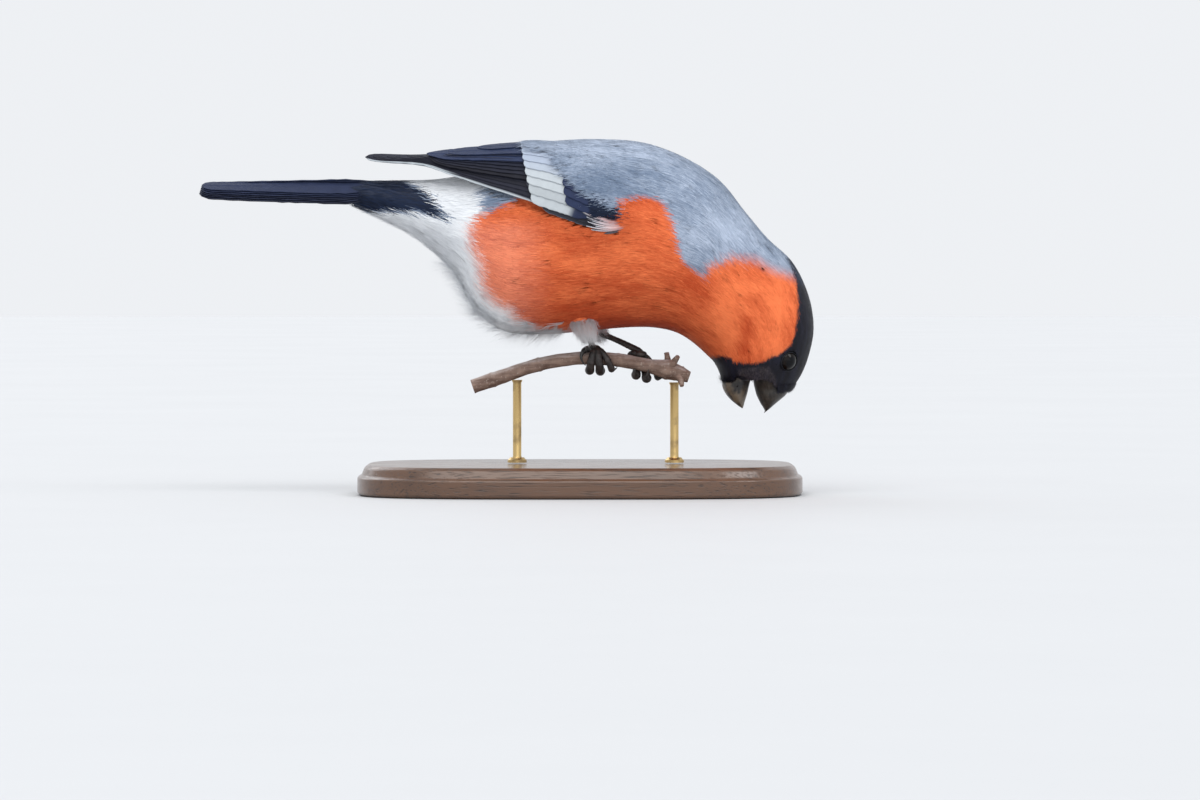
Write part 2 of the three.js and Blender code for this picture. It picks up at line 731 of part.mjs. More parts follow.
function toe(footX, side, { slide, wrap, off, thick }) {
  const stops = 6;
  const path = Array.from({ length: stops + 1 }, (_, k) => {
    const share = k / stops;
    const x = footX + lerp(slide[0], slide[1], Math.sin((share * Math.PI) / 2));
    return roundTwig(x, side, lerp(wrap[0], wrap[1], share), lerp(off[0], off[1], share));
  });
  const pads = (t) => lerp(thick[0], thick[1], t) * (0.9 + 0.14 * Math.abs(Math.sin(t * 9.4)));
  const clawPath = Array.from({ length: 4 }, (_, k) =>
    roundTwig(
      footX + slide[1] * (1 + 0.1 * k),
      side,
      wrap[1] - 6 + (CLAW.wrap * k) / 3,
      off[1] - 0.18 * k,
    ),
  );
  return [tube(path, pads, 8, 6), tube(clawPath, (t) => lerp(...CLAW.thick, t), 3, 5)];
}

function foot(footX, side) {
  const place = ([x, out, up]) => vec(footX + x, side * out, twigHeight(footX + x) + up);
  const palm = new THREE.SphereGeometry(1, 10, 6).scale(1.7, 1.5, 0.95);
  const middle = place([0, 0.9, 2.75]);
  const thumb = tube(HIND_TOE.map(place), (t) => lerp(0.85, 0.72, t), 4, 6);
  const thumbClaw = tube(HIND_CLAW.map(place), (t) => lerp(...CLAW.thick, t), 5, 5);
  return join([
    solidOf(palm.translate(middle.x, middle.y, middle.z)),
    thumb,
    thumbClaw,
    ...TOES.flatMap((form) => toe(footX, side, form)),
  ]).subtract(twig(GAP, 14));
}

for (const [name, { side, tuft, tuftRadius, shank: ends, footX }] of Object.entries(LEGS)) {
  const [hip, knee] = tuft.map((p) => vec(...p));
  const [from, to] = ends.map((p) => vec(...p));
  const way = to.clone().sub(from).normalize();
  const down = knee.clone().sub(hip).normalize();
  const thigh = spindle(hip, knee, [
    [0, tuftRadius[0]],
    [0.6, lerp(...tuftRadius, 0.6)],
    [1, tuftRadius[1]],
  ]);
  const bone = shank(from, to);
  const grip = foot(footX, side);
  const clearOfThigh = spindle(hip, knee.clone().addScaledVector(down, GAP), [
    [0, tuftRadius[0] + GAP],
    [1, tuftRadius[1] + GAP],
  ]);
  const clearOfShank = spindle(from, to.clone().addScaledVector(way, GAP), [
    [0, SHANK.radius + SHANK.raised + GAP],
    [1, SHANK.radius + SHANK.raised + GAP],
  ]);
  addNode(`thigh_${name}`, thigh.subtract(clearOfBody), whitePlumage);
  addNode(`shank_${name}`, bone.subtract(clearOfThigh).subtract(clearOfBody), legSkin);
  addNode(`foot_${name}`, grip.subtract(clearOfShank), legSkin);
}

model.position.z = PERCH_HEIGHT;
export default model;
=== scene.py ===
import math

import bmesh
import bpy
import numpy as np
from mathutils import Matrix, Vector, noise
from mathutils.bvhtree import BVHTree
from mathutils.kdtree import KDTree


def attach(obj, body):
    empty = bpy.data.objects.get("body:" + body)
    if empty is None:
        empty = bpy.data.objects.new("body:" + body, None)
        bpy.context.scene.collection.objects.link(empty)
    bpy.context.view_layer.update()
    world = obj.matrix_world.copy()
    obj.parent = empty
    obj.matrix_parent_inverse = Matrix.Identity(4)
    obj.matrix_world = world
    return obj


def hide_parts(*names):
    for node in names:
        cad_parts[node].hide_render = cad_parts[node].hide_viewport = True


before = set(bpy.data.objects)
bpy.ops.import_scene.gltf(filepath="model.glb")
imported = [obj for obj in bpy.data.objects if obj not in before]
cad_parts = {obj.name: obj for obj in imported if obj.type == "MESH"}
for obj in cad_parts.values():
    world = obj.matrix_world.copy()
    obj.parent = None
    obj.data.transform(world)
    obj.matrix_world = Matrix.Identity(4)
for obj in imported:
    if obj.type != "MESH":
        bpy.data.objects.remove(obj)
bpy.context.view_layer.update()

# Studio: a plain pale floor in a soft pale surround, with a large overhead lamp like an overcast
# sky and three weak side lamps. The camera is level with the bird's right side and far off, so
# that the outline isn't distorted.
MM = 0.001
PERCH_HEIGHT = 36.0
CAMERA_AWAY = 1.6
CAMERA_LENS = 177.6
CAMERA_DIP = math.radians(1.5)
CAMERA_MIDDLE = (0.0054, 0.0, 0.0252)
FLOOR_PALE = (0.555, 0.565, 0.58, 1)
FLOOR_WORN = (0.535, 0.545, 0.56, 1)
SURROUND = (0.90, 0.92, 0.95, 1)
SURROUND_STRENGTH = 0.95
FLOOR_RADIUS = 4.0
FLOOR_DROP = 0.0002  # so that the floor and the underside of the base aren't in one plane


class Wire:
    """A socket of a material's node, with arithmetic that adds Math nodes to its tree."""

    def __init__(self, tree, socket=None):
        self.tree = tree
        self.socket = socket

    def node(self, kind, settings=(), sockets=(), output=0):
        """Adds any node: its settings are made first, then its sockets get values or links."""
        made = self.tree.nodes.new("ShaderNode" + kind)
        for name, value in dict(settings).items():
            if name == "stops":
                for place, colour in value[1:-1]:
                    made.color_ramp.elements.new(place)
                for stop, (place, colour) in zip(made.color_ramp.elements, value):
                    stop.position = place
                    stop.color = colour
            else:
                setattr(made, name, value)
        for key, value in dict(sockets).items():
            if isinstance(value, Wire):
                self.tree.links.new(value.socket, made.inputs[key])
            else:
                made.inputs[key].default_value = value
        return Wire(self.tree, made.outputs[output]) if made.outputs else None

    def math(self, operation, *values):
        return self.node("Math", {"operation": operation}, dict(enumerate(values)))

    def __add__(self, other):
        return self.math("ADD", self, other)

    __radd__ = __add__

    def __sub__(self, other):
        return self.math("SUBTRACT", self, other)

    def __rsub__(self, other):
        return self.math("SUBTRACT", other, self)

    def __mul__(self, other):
        return self.math("MULTIPLY", self, other)

    __rmul__ = __mul__

    def ease(self, low, high):
        """Rises smoothly from 0 to 1 between two values."""
        settings = {"interpolation_type": "SMOOTHSTEP"}
        return self.node("MapRange", settings, {0: self, 1: low, 2: high})

    def blend(self, share, first, second):
        """A colour between two colours."""
        return self.node("Mix", {"data_type": "RGBA"}, {0: share, 6: first, 7: second}, 2)

    def dim(self, colour, share):
        """A colour made lighter or darker by a share."""
        return self.node("VectorMath", {"operation": "SCALE"}, {0: colour, 3: share})

    def noise(self, place, scale, detail=3.0, rough=0.55):
        sockets = {"Vector": place, "Scale": scale, "Detail": detail, "Roughness": rough}
        return self.node("TexNoise", {}, sockets)

    def stretched(self, place, sizes):
        """Object coordinates, drawn out along the axes whose size is small."""
        return self.node("VectorMath", {"operation": "MULTIPLY"}, {0: place, 1: sizes})

    def attribute(self, name):
        return self.node("Attribute", {"attribute_name": name}, {}, 2)


def new_finish(name):
    material = bpy.data.materials.new(name)
    material.use_nodes = True
    material.node_tree.nodes.clear()
    start = Wire(material.node_tree)
    return material, start, start.node("TexCoord", {}, {}, 3)


def show(start, colour, roughness, height=None, relief=0.0, **fixed):
    """Ends a material: colour, roughness and the height of its relief go to the shader."""
    sockets = {"Base Color": colour, "Roughness": roughness}
    if height is not None:
        sockets["Normal"] = start.node("Bump", {}, {"Height": height, "Distance": relief})
    for name, value in fixed.items():
        sockets[name.replace("_", " ").title().replace("Ior", "IOR")] = value
    shader = start.node("BsdfPrincipled", {}, sockets)
    start.node("OutputMaterial", {}, {"Surface": shader})


def add_object(name, data):
    made = bpy.data.objects.new(name, data)
    bpy.context.scene.collection.objects.link(made)
    return made


def lamp(name, away, softness, strength, colour):
    """A far soft light that comes from a direction, like a bright part of a cloudy sky."""
    data = bpy.data.lights.new(name, "SUN")
    data.angle = math.radians(softness)
    data.energy = strength
    data.color = colour
    made = add_object(name, data)
    made.rotation_euler = Vector(away).to_track_quat("Z", "Y").to_euler()


bm = bmesh.new()
bmesh.ops.create_circle(bm, cap_ends=True, segments=96, radius=FLOOR_RADIUS)
floor_mesh = bpy.data.meshes.new("floor")
bm.to_mesh(floor_mesh)
bm.free()
floor = add_object("floor", floor_mesh)
floor_finish, start, place = new_finish("pale_floor")
cloudy = start.noise(place, 9.0, 4.0)
show(start, start.blend(cloudy, FLOOR_PALE, FLOOR_WORN), 0.55 + 0.2 * cloudy)
floor.data.materials.append(floor_finish)
floor.location.z = -FLOOR_DROP

surround = bpy.data.worlds.new("surround")
surround.use_nodes = True
sky = surround.node_tree.nodes["Background"]
sky.inputs["Color"].default_value = SURROUND
sky.inputs["Strength"].default_value = SURROUND_STRENGTH
bpy.context.scene.world = surround
bpy.context.scene.view_settings.view_transform = "Standard"

lamp("overcast", (-0.15, -0.7, 1.0), 50, 1.52, (1.0, 0.98, 0.95))
lamp("bright_cloud", (0.6, -0.4, 0.68), 26, 0.8, (0.98, 0.99, 1.0))
lamp("front_fill", (0.3, -1.2, 0.1), 60, 0.42, (0.96, 0.98, 1.0))
lamp("back_rim", (-0.6, 0.9, 0.7), 40, 0.5, (0.92, 0.96, 1.0))

camera_data = bpy.data.cameras.new("camera")
camera_data.lens = CAMERA_LENS
camera_data.sensor_width = 36.0
camera = add_object("camera", camera_data)
camera.location = Vector(CAMERA_MIDDLE) + CAMERA_AWAY * Vector(
    (0, -math.cos(CAMERA_DIP), math.sin(CAMERA_DIP))
)
camera.rotation_euler = (math.pi / 2 - CAMERA_DIP, 0, 0)
bpy.context.scene.camera = camera

# Stand base: one slab of dark stained hardwood, rounded like a long pillow in plan, with a
# moulded edge cut round it and a satin varnish. It lies flat on its underside.
BASE_LONG = 120.0
BASE_WIDE = 74.0
BASE_HIGH = 8.0
BASE_SQUARENESS = 0.6
BASE_EDGE = [(0, 0.6), (0.6, 0), (4.6, 0), (5.2, 1.1), (7.2, 1.9), (8, 3)]  # height, inset
BASE_AROUND = 144
WOOD_DARK = (0.030, 0.014, 0.008, 1)
WOOD_LIGHT = (0.105, 0.050, 0.026, 1)


def in_frame(points):
    """Millimetres about the twig's axis, turned into metres over the floor."""
    return (np.asarray(points, float) + (0, 0, PERCH_HEIGHT)) * MM


def lay_sheet(bm, places):
    """Lays a grid on rows of places, which are in millimetres about the twig's axis."""
    rows, columns = places.shape[:2]
    made = bmesh.ops.create_grid(bm, x_segments=columns - 1, y_segments=rows - 1, size=1)
    for vert, place in zip(made["verts"], in_frame(places).reshape(-1, 3)):
        vert.co = place
    return made["verts"]


def lay_tube(bm, rings):
    """Closes a sheet over rings of places into a solid with a cap on each end."""
    seam = np.concatenate([rings, rings[:, :1]], axis=1)
    verts = lay_sheet(bm, seam)
    bmesh.ops.remove_doubles(bm, verts=verts, dist=1e-7)
    verts = [vert for vert in verts if vert.is_valid]
    edges = {edge for vert in verts for edge in vert.link_edges if edge.is_boundary}
    bmesh.ops.holes_fill(bm, edges=list(edges))
    faces = {face for vert in verts for face in vert.link_faces}
    bmesh.ops.recalc_face_normals(bm, faces=list(faces))


def add_piece(name, bm, material, replaced=(), sharp=None):
    """Makes a mesh a piece of the model, with its finish and the CAD nodes it stands for."""
    mesh = bpy.data.meshes.new(name)
    bm.to_mesh(mesh)
    bm.free()
    mesh.shade_smooth()
    if sharp is not None:
        mesh.set_sharp_from_angle(angle=math.radians(sharp))
    return fit_piece(add_object(name, mesh), material, replaced)


def fit_piece(piece, material, replaced=()):
    piece.data.materials.append(material)
    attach(piece, "root")
    if replaced:
        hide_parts(*replaced)
    return piece


def base_ring(height, inset):
    turn = np.linspace(0, 2 * math.pi, BASE_AROUND, endpoint=False)
    rounded = lambda v: np.sign(v) * np.abs(v) ** BASE_SQUARENESS
    across = rounded(np.cos(turn)) * (BASE_LONG / 2 - inset)
    deep = rounded(np.sin(turn)) * (BASE_WIDE / 2 - inset)
    return np.stack([across, deep, np.full(BASE_AROUND, height - PERCH_HEIGHT)], axis=1)


bm = bmesh.new()
lay_tube(bm, np.array([base_ring(*edge) for edge in BASE_EDGE]))
wood, start, place = new_finish("stained_hardwood")
rings = start.noise(start.stretched(place, (14, 120, 120)), 2.2, 5.0, 0.6)
pores = start.noise(start.stretched(place, (120, 2600, 2600)), 1.0, 2.0, 0.5).ease(0.52, 0.7)
grain = (rings * 0.8 + pores * 0.3).ease(0.3, 0.85)
show(start, start.blend(grain, WOOD_LIGHT, WOOD_DARK), 0.28 + 0.15 * pores,
     rings * 0.3 - pores, 0.00006, coat_weight=0.35, coat_roughness=0.12)
base = add_piece("display_base", bm, wood, ["stand_base"], sharp=28)
rounding = base.modifiers.new("rounded_edges", "BEVEL")
rounding.width = 0.3 * MM
rounding.segments = 3
rounding.limit_method = "ANGLE"

# Rods: two drawn brass rods screwed into the base through a turned collar, each ending in a
# shallow cup that the twig is pinned to.
ROD_PLACES = {"rear": -17.0, "front": 25.5}
ROD_RADIUS = 1.15
COLLAR_RADIUS = 2.6
ROD_FOOT_GAP = 0.3
ROD_TOP_GAP = 0.35
TWIG = [  # along the twig's axis: x, height, radius
    (-29, -7.2, 1.95), (-20.3, -4.2, 1.85), (-13.5, -1.9, 1.8), (-6.8, -0.3, 1.75),
    (0, 0.5, 1.75), (6, 0.45, 1.75), (13.5, -0.5, 1.8), (19, -1.7, 1.85),
    (23.6, -2.6, 2.5), (26, -3.4, 2.3), (29.5, -4.6, 1.5),
]
BRASS = (0.62, 0.44, 0.19, 1)
BRASS_DULL = (0.34, 0.24, 0.12, 1)


def twig_height(x):
    return np.interp(x, [spot[0] for spot in TWIG], [spot[1] for spot in TWIG])


def twig_radius(x):
    return np.interp(x, [spot[0] for spot in TWIG], [spot[2] for spot in TWIG])


brass, start, place = new_finish("drawn_brass")
drawn = start.noise(start.stretched(place, (900, 900, 14)), 1.0, 3.0)
tarnish = start.noise(place, 260.0, 4.0).ease(0.45, 0.75)
show(start, start.blend(tarnish, BRASS, BRASS_DULL), 0.22 + 0.2 * tarnish + 0.12 * drawn,
     drawn, 0.00002, metallic=1.0)
for name, x in ROD_PLACES.items():
    low = BASE_HIGH - PERCH_HEIGHT + ROD_FOOT_GAP
    top = twig_height(x) - twig_radius(x) - ROD_TOP_GAP
    profile = [
        (0, low), (COLLAR_RADIUS, low), (COLLAR_RADIUS, low + 0.7), (2.2, low + 1.0),
        (1.9, low + 1.4), (ROD_RADIUS + 0.1, low + 1.45), (ROD_RADIUS, low + 1.8),
        (ROD_RADIUS, top - 0.9), (1.35, top - 0.5), (1.45, top - 0.1), (0, top - 0.15),
    ]
    bm = bmesh.new()
    verts = [bm.verts.new(in_frame((x + out, 0, high))) for out, high in profile]
    edges = [bm.edges.new(pair) for pair in zip(verts, verts[1:])]
    bmesh.ops.spin(bm, geom=verts + edges, cent=in_frame((x, 0, 0)), axis=(0, 0, 1),
                   angle=2 * math.pi, steps=40, use_merge=True)
    bmesh.ops.remove_doubles(bm, verts=bm.verts, dist=1e-6)
    bmesh.ops.recalc_face_normals(bm, faces=bm.faces)
    add_piece(f"rod_{name}", bm, brass, [f"stand_rod_{name}"], sharp=40)

# Perch: a cut length of a thin shrub twig, grey-brown with fine lengthways wrinkles, pale dots
# and small bud scars, a knotty joint with cut side stalks near its front end, and both ends cut
# off square.
TWIG_AROUND = 40
TWIG_ROWS = 240
BARK_DARK = (0.095, 0.052, 0.038, 1)
BARK_LIGHT = (0.300, 0.205, 0.160, 1)
BARK_BLEACHED_AND_SKYLIT = (0.500, 0.450, 0.440, 1)
BARK_DOTS = (0.40, 0.33, 0.28, 1)
KNOT_PLACE = 23.4
BUD_SCARS = (-23.5, -11.0, 10.2)
STALKS = [  # cut side stalks: root and end as x, y, height, and the radius at each
    ((23.6, 0.4, -1.6), (23.4, 1.2, 2.0), 1.0, 0.65),
    ((24.5, -1.2, -1.6), (26.4, -3.2, 1.0), 1.0, 0.6),
    ((25.5, 1.2, -3.0), (27.9, 3.6, -2.4), 1.0, 0.65),
    ((26.6, -1.0, -4.2), (27.5, -2.9, -6.9), 1.0, 0.6),
]


def unit(vectors):
    return vectors / np.maximum(np.linalg.norm(vectors, axis=-1, keepdims=True), 1e-9)


def through(points, share):
    """A smooth line through points, at shares of the way along it, and straight beyond its ends."""
    points = np.asarray(points, float)
    share = np.atleast_1d(np.asarray(share, float))
    ends = np.vstack([2 * points[0] - points[1], points, 2 * points[-1] - points[-2]])
    inside = np.clip(share, 0, 1) * (len(points) - 1)
    index = np.minimum(inside.astype(int), len(points) - 2)
    way = (inside - index)[:, None]
    p0, p1, p2, p3 = (ends[index + k] for k in range(4))
    d0, d1, d2 = (
        np.maximum(np.sum((b - a) ** 2, axis=1, keepdims=True) ** 0.25, 1e-4)
        for a, b in ((p0, p1), (p1, p2), (p2, p3))
    )
    lean1 = ((p1 - p0) / d0 - (p2 - p0) / (d0 + d1) + (p2 - p1) / d1) * d1
    lean2 = ((p2 - p1) / d1 - (p3 - p1) / (d1 + d2) + (p3 - p2) / d2) * d1
    place = (
        p1
        + lean1 * way
        + (3 * (p2 - p1) - 2 * lean1 - lean2) * way**2
        + (2 * (p1 - p2) + lean1 + lean2) * way**3
    )
    beyond = (share - np.clip(share, 0, 1)) * (len(points) - 1)
    lean = np.where(beyond[:, None] < 0, lean1, lean2)
    return place + lean * beyond[:, None]


def rings_along(path, radii, around, rows):
    """Rings of places round a smooth path. The radii are spread evenly along it."""
    share = np.linspace(0, 1, rows)
    middle = through(path, share)
    ahead = unit(through(path, share + 1e-3) - through(path, share - 1e-3))
    start = np.array([0.0, 1.0, 0.0]) if abs(ahead[0, 1]) < 0.9 else np.array([0.0, 0.0, 1.0])
    side = np.zeros_like(middle)
    for row in range(rows):
        start = start - ahead[row] * np.dot(start, ahead[row])
        start = start / np.linalg.norm(start)
        side[row] = start
    up = np.cross(ahead, side)
    radius = np.interp(share, np.linspace(0, 1, len(radii)), radii)
    turn = np.linspace(0, 2 * math.pi, around, endpoint=False)
    out = side[:, None] * np.cos(turn)[None, :, None] + up[:, None] * np.sin(turn)[None, :, None]
    return middle[:, None], out, radius[:, None, None]


def set_values(mesh, values):
    """Gives a mesh named numbers at its points, which finishes read."""
    for name, numbers in values.items():
        layer = mesh.attributes.new(name, "FLOAT", "POINT")
        layer.data.foreach_set("value", np.asarray(numbers, np.float32))


def wrinkled(places, size, seed):
    """Smooth random numbers at places, from -1 to 1."""
    flat = places.reshape(-1, 3) / size + seed
    return np.array([noise.noise(Vector(p)) for p in flat]).reshape(places.shape[:-1])


bm = bmesh.new()
middle, out, radius = rings_along(
    [(x, 0, z) for x, z, _ in TWIG], [r for *_, r in TWIG], TWIG_AROUND, TWIG_ROWS
)
grooves = wrinkled((middle + out * 3.0) * (0.16, 1, 1), 0.75, 3.1)
lumps = wrinkled(middle + out * radius, 3.2, 8.4)
knots = np.exp(-(((middle[..., 0] - KNOT_PLACE) / 1.6) ** 2)) * 0.3
scars = sum(np.exp(-(((middle[..., 0] - x) / 0.35) ** 2)) for x in BUD_SCARS) * 0.16
relief = 1 + 0.045 * grooves[..., None] + 0.07 * lumps[..., None]
lay_tube(bm, middle + out * (radius * relief + (knots + scars)[..., None]))
for root, end, thick, thin in STALKS:
    bend = np.add(root, end) / 2 + (0.15, 0.1, 0.15)
    middle, out, radius = rings_along([root, bend, end], [thick * 1.25, thick * 0.85, thin], 20, 26)
    rough = 1 + 0.08 * wrinkled(middle + out, 0.8, 5.0)[..., None]
    lay_tube(bm, middle + out * radius * rough)
bark, start, place = new_finish("grey_brown_bark")
streaks = start.noise(start.stretched(place, (110, 900, 900)), 1.0, 4.0, 0.6)
blotches = start.noise(place, 420.0, 3.0)
dots = start.noise(place, 1900.0, 1.0, 0.4).ease(0.66, 0.72)
tone = (streaks * 0.7 + blotches * 0.5).ease(0.35, 0.85)
young = start.blend(tone, BARK_DARK, BARK_LIGHT)
# The twig's upper side, found from its normals, is painted paler: partly bleached bark and partly
# painted light from the sky above.
painted_skylight_top = (start.attribute("painted_skylight_top") + 0.9 * (streaks - 0.5)).ease(0.25, 1.05)
colour = start.blend(painted_skylight_top, young, start.blend(tone, BARK_LIGHT, BARK_BLEACHED_AND_SKYLIT))
show(start, start.blend(dots * 0.6, colour, BARK_DOTS), 0.62 + 0.25 * streaks,
     streaks * 0.7 + blotches * 0.3, 0.00012)
twig = add_piece("twig", bm, bark, ["perch"], sharp=60)
# How much each point faces upwards, which the bark finish paints paler as light from above.
set_values(twig.data, {"painted_skylight_top": [vert.normal.z for vert in twig.data.vertices]})

# Skin: the bird's body under its feathers, one closed form from the root of the tail to the root
# of the bill, with the thighs and the fleshy arms of the wings. It lies under the outer line of
# the plumage by the depth of the feathers, and carries the same markings.
STATIONS = [  # the plumage's outline: x and height on the back, the same opposite, and the width
    (-52.7, 48.4, -56.2, 39.5, 10), (-45.9, 48.5, -48.1, 35.7, 14), (-38.6, 48.8, -40.5, 30.3, 20),
    (-30.3, 50.5, -33.5, 23.0, 27), (-21.6, 54.6, -28.6, 13.8, 35), (-13.5, 57.6, -20.3, 7.8, 41),
    (-4.1, 59.2, -9.5, 7.0, 44.5), (6.8, 59.6, 2.7, 8.0, 46), (17.6, 58.6, 13.5, 8.9, 45),
    (28.4, 54.6, 20.3, 8.8, 42), (37.8, 48.4, 25.9, 7.6, 38), (44.6, 40.0, 29.7, 5.4, 34.5),
    (50.8, 32.7, 32.4, 3.2, 31.5), (57.4, 26.4, 34.6, 1.1, 28.5), (61.8, 17.2, 36.2, -0.5, 26.5),
    (63.1, 8.6, 37.6, -3.2, 24.8), (62.1, 2.4, 38.4, -5.4, 22), (60.0, -3.5, 39.7, -6.8, 16.4),
    (57.0, -8.2, 41.9, -7.6, 11.2),
]
BACK_LINE = [(x, 0, z) for x, z, _, _, _ in STATIONS]
BELLY_LINE = [(x, 0, z) for _, _, x, z, _ in STATIONS]
WIDTH_LINE = [(i, spot[4], 0) for i, spot in enumerate(STATIONS)]
BILL_ROOT = len(STATIONS) - 1
HEAD_TURN = math.radians(6)
FULLNESS = 0.94
COAT_DEPTH = 1.3
SKIN_VOXEL = 0.75
SKIN_UNDER_COVER = 2.9
SKIN_AT_MOUTH = 16.8
SKIN_AROUND = 96
SKIN_RINGS = 110
MOUTH_TAPER = 1.0
COVER_GRID = (110, 150)
COVER_STATIONS = (2, 15)
COVER_SHEET = (50, 16)  # corners along a wing's face and up it
COVER_BELOW = 3.0  # how far under the body's outer line the search for the wing starts
COVER_REACH = 16.0  # and how far out it goes from there
COVER_FALL = 0.985  # the share of its neighbours' height that each cell keeps at least
COVER_EASING = 60
COVER_SMOOTHING = 8
WING_COVER = 2.2
WING = [  # from the bend of the wing to its tip: x, out, height of the lower and the upper edge
    (16.2, 21.6, 36.2, 14.5, 18.6, 45.5), (8.1, 23.8, 34.2, 6.8, 15.4, 52.4),
    (-2.7, 23.6, 36.6, -2.7, 9.8, 57.0), (-13.5, 21.4, 40.4, -13.5, 6.2, 58.2),
    (-24.3, 16.8, 44.3, -24.3, 4.8, 57.5), (-33.8, 12.0, 48.6, -33.8, 4.0, 56.5),
    (-40.5, 9.0, 51.9, -40.5, 3.8, 55.6), (-48.6, 6.8, 53.4, -48.6, 4.0, 55.2),
    (-57.8, 5.0, 54.3, -57.8, 4.4, 55.2),
]
WING_BOW = [1.8, 5.0, 5.2, 4.4, 3.0, 1.6, 0.8, 0.4, 0.1]
WING_DEEP = [3, 5, 5, 4, 3, 2, 1.2, 0.8, 0.5]
THIGHS = {  # hip and knee as x, y, height, and the radius at each
    "right": ((0.4, -9, 12), (2.0, -5.4, 6.9), 4.2, 2.3),
    "left": ((0.6, 10, 12.5), (5.0, 5.6, 7.4), 4.4, 2.2),
}

# Markings, as outlines in the side view: x and height. They are drawn on the right side, and the
# left side repeats them.
CAP = [
    (58.1, 40), (55.8, 27.2), (57.2, 23.9), (58.0, 21.6), (58.5, 16.1), (58.3, 11.1), (57.5, 6.9),
    (56.8, 4.6), (54.9, 2.9), (53.2, 1.6), (51.3, 1.2), (49.6, 0.2), (46.7, -0.5), (41.1, 0.0),
    (40.3, 1.2), (36.5, 1.5), (33.8, 0.5), (29.7, -21.6), (75.7, -21.6), (75.7, 40),
]
ORANGE = [
    (-20.5, 41.9), (-10.8, 45.9), (5.4, 41.9), (11.9, 43.5), (16.2, 44.1), (19.7, 43.5),
    (22.2, 41.5), (23.5, 38.1), (24.9, 33.0), (26.6, 27.3), (29.7, 24.9), (32.4, 22.7),
    (34.3, 25.9), (40.1, 28.1), (46.7, 27.5), (51.3, 24.6), (57.2, 23.0), (67.6, 23.0),
    (67.6, -16.2), (10.8, -16.2), (-3.8, 7.8), (-11.5, 8.3), (-18.0, 11.1), (-19.2, 13.6),
    (-24.5, 16.7), (-27.0, 20.4), (-27.6, 26.6), (-29.7, 31.1), (-30.2, 35.4), (-28.4, 38.8),
]
GREY = [
    (-27.6, 70), (-29.0, 49.2), (-28.6, 45.4), (-27.0, 40.2), (-20.5, 38.2), (-5.4, 36.5),
    (10.8, 32.4), (29.7, 18.9), (35.1, 21.6), (73.0, 20.3), (73.0, 70),
]
TAIL_COVERTS = [
    (-90, 60), (-47.7, 60), (-47.7, 48.2), (-43.0, 45.8), (-40.7, 43.7), (-38.8, 41.2),
    (-36.4, 38.0), (-40.5, 39.5), (-44.3, 40.5), (-59.5, 40.3), (-90, 39.7),
]


def smooth(value, low=0.0, high=1.0):
    share = np.clip((value - low) / (high - low), 0, 1)
    return share * share * (3 - 2 * share)


def section(station):
    """The middle, the directions and the half sizes of the body's cross-sections."""
    share = station / BILL_ROOT
    back = through(BACK_LINE, share)
    belly = through(BELLY_LINE, share)
    up = unit(back - belly)
    side = np.broadcast_to((0.0, 1.0, 0.0), up.shape)
    turn = -HEAD_TURN * smooth(station, 10, 15)[:, None]
    turned_up = up * np.cos(turn) - side * np.sin(turn)
    turned_side = side * np.cos(turn) + up * np.sin(turn)
    high = np.linalg.norm(back - belly, axis=1, keepdims=True) / 2
    wide = through(WIDTH_LINE, share)[:, 1:2] / 2
    return (back + belly) / 2, turned_up, turned_side, high, wide


def body(station, angle, lift=0.0):
    """A place on the plumage's outer line, or off it: the angle runs from the back to the left."""
    station = np.atleast_1d(np.asarray(station, float))
    angle = np.broadcast_to(np.asarray(angle, float), station.shape)
    middle, up, side, high, wide = section(station)
    full = lambda v: (np.sign(v) * np.abs(v) ** FULLNESS)[:, None]
    lift = np.broadcast_to(lift, station.shape)[:, None]
    return middle + up * full(np.cos(angle)) * (high + lift) + side * full(np.sin(angle)) * (
        wide + lift
    )


def wing_face(side):
    """The folded wing's outer face: along it from the bend, and up from its lower edge."""
    low_line = [spot[:3] for spot in WING]
    top_line = [spot[3:] for spot in WING]
    bow_line = [(i, bow, 0) for i, bow in enumerate(WING_BOW)]

    def face(along, up, lift=0.0):
        along = np.atleast_1d(np.asarray(along, float))
        up = np.broadcast_to(np.asarray(up, float), along.shape)[:, None]
        low = through(low_line, along)
        chord = through(top_line, along) - low
        backward = through(top_line, along + 1e-3) - through(top_line, along - 1e-3)
        out = unit(np.cross(backward, chord))
        bow = through(bow_line, along)[:, 1:2] * 4 * up * (1 - up)
        place = low + chord * up + out * (bow + np.broadcast_to(lift, along.shape)[:, None])
        return place * (1, side, 1)

    return face


def thigh(side):
    """A thigh's outer line: along it from the knee, and round it."""
    hip, knee, thick, thin = THIGHS[side]
    way = unit(np.subtract(knee, hip))
    across = unit(np.cross((0, 0, 1), way))
    deep = np.cross(way, across)

    def face(along, turn, lift=0.0):
        along = np.atleast_1d(np.asarray(along, float))[:, None]
        turn = np.broadcast_to(np.asarray(turn, float), along.shape[:1])[:, None]
        radius = thin + (thick - thin) * along + np.broadcast_to(lift, along.shape[:1])[:, None]
        middle = np.asarray(knee) + (np.asarray(hip) - np.asarray(knee)) * along
        return middle + radius * (across * np.cos(turn) + deep * np.sin(turn))

    return face


def inside(outline, places):
    """How far places are inside an outline in the side view, or outside it where negative."""
    spot = places[:, (0, 2)]
    corners = np.asarray(outline, float)
    nearest = np.full(len(spot), 1e9)
    odd = np.zeros(len(spot), bool)
    for start, end in zip(corners, np.roll(corners, -1, axis=0)):
        way = end - start
        share = np.clip((spot - start) @ way / (way @ way), 0, 1)[:, None]
        nearest = np.minimum(nearest, np.linalg.norm(spot - start - share * way, axis=1))
        crossed = (start[1] > spot[:, 1]) != (end[1] > spot[:, 1])
        reach = start[0] + (spot[:, 1] - start[1]) * way[0] / (way[1] if way[1] else 1e-9)
        odd ^= crossed & (spot[:, 0] < reach)
    return np.where(odd, nearest, -nearest)


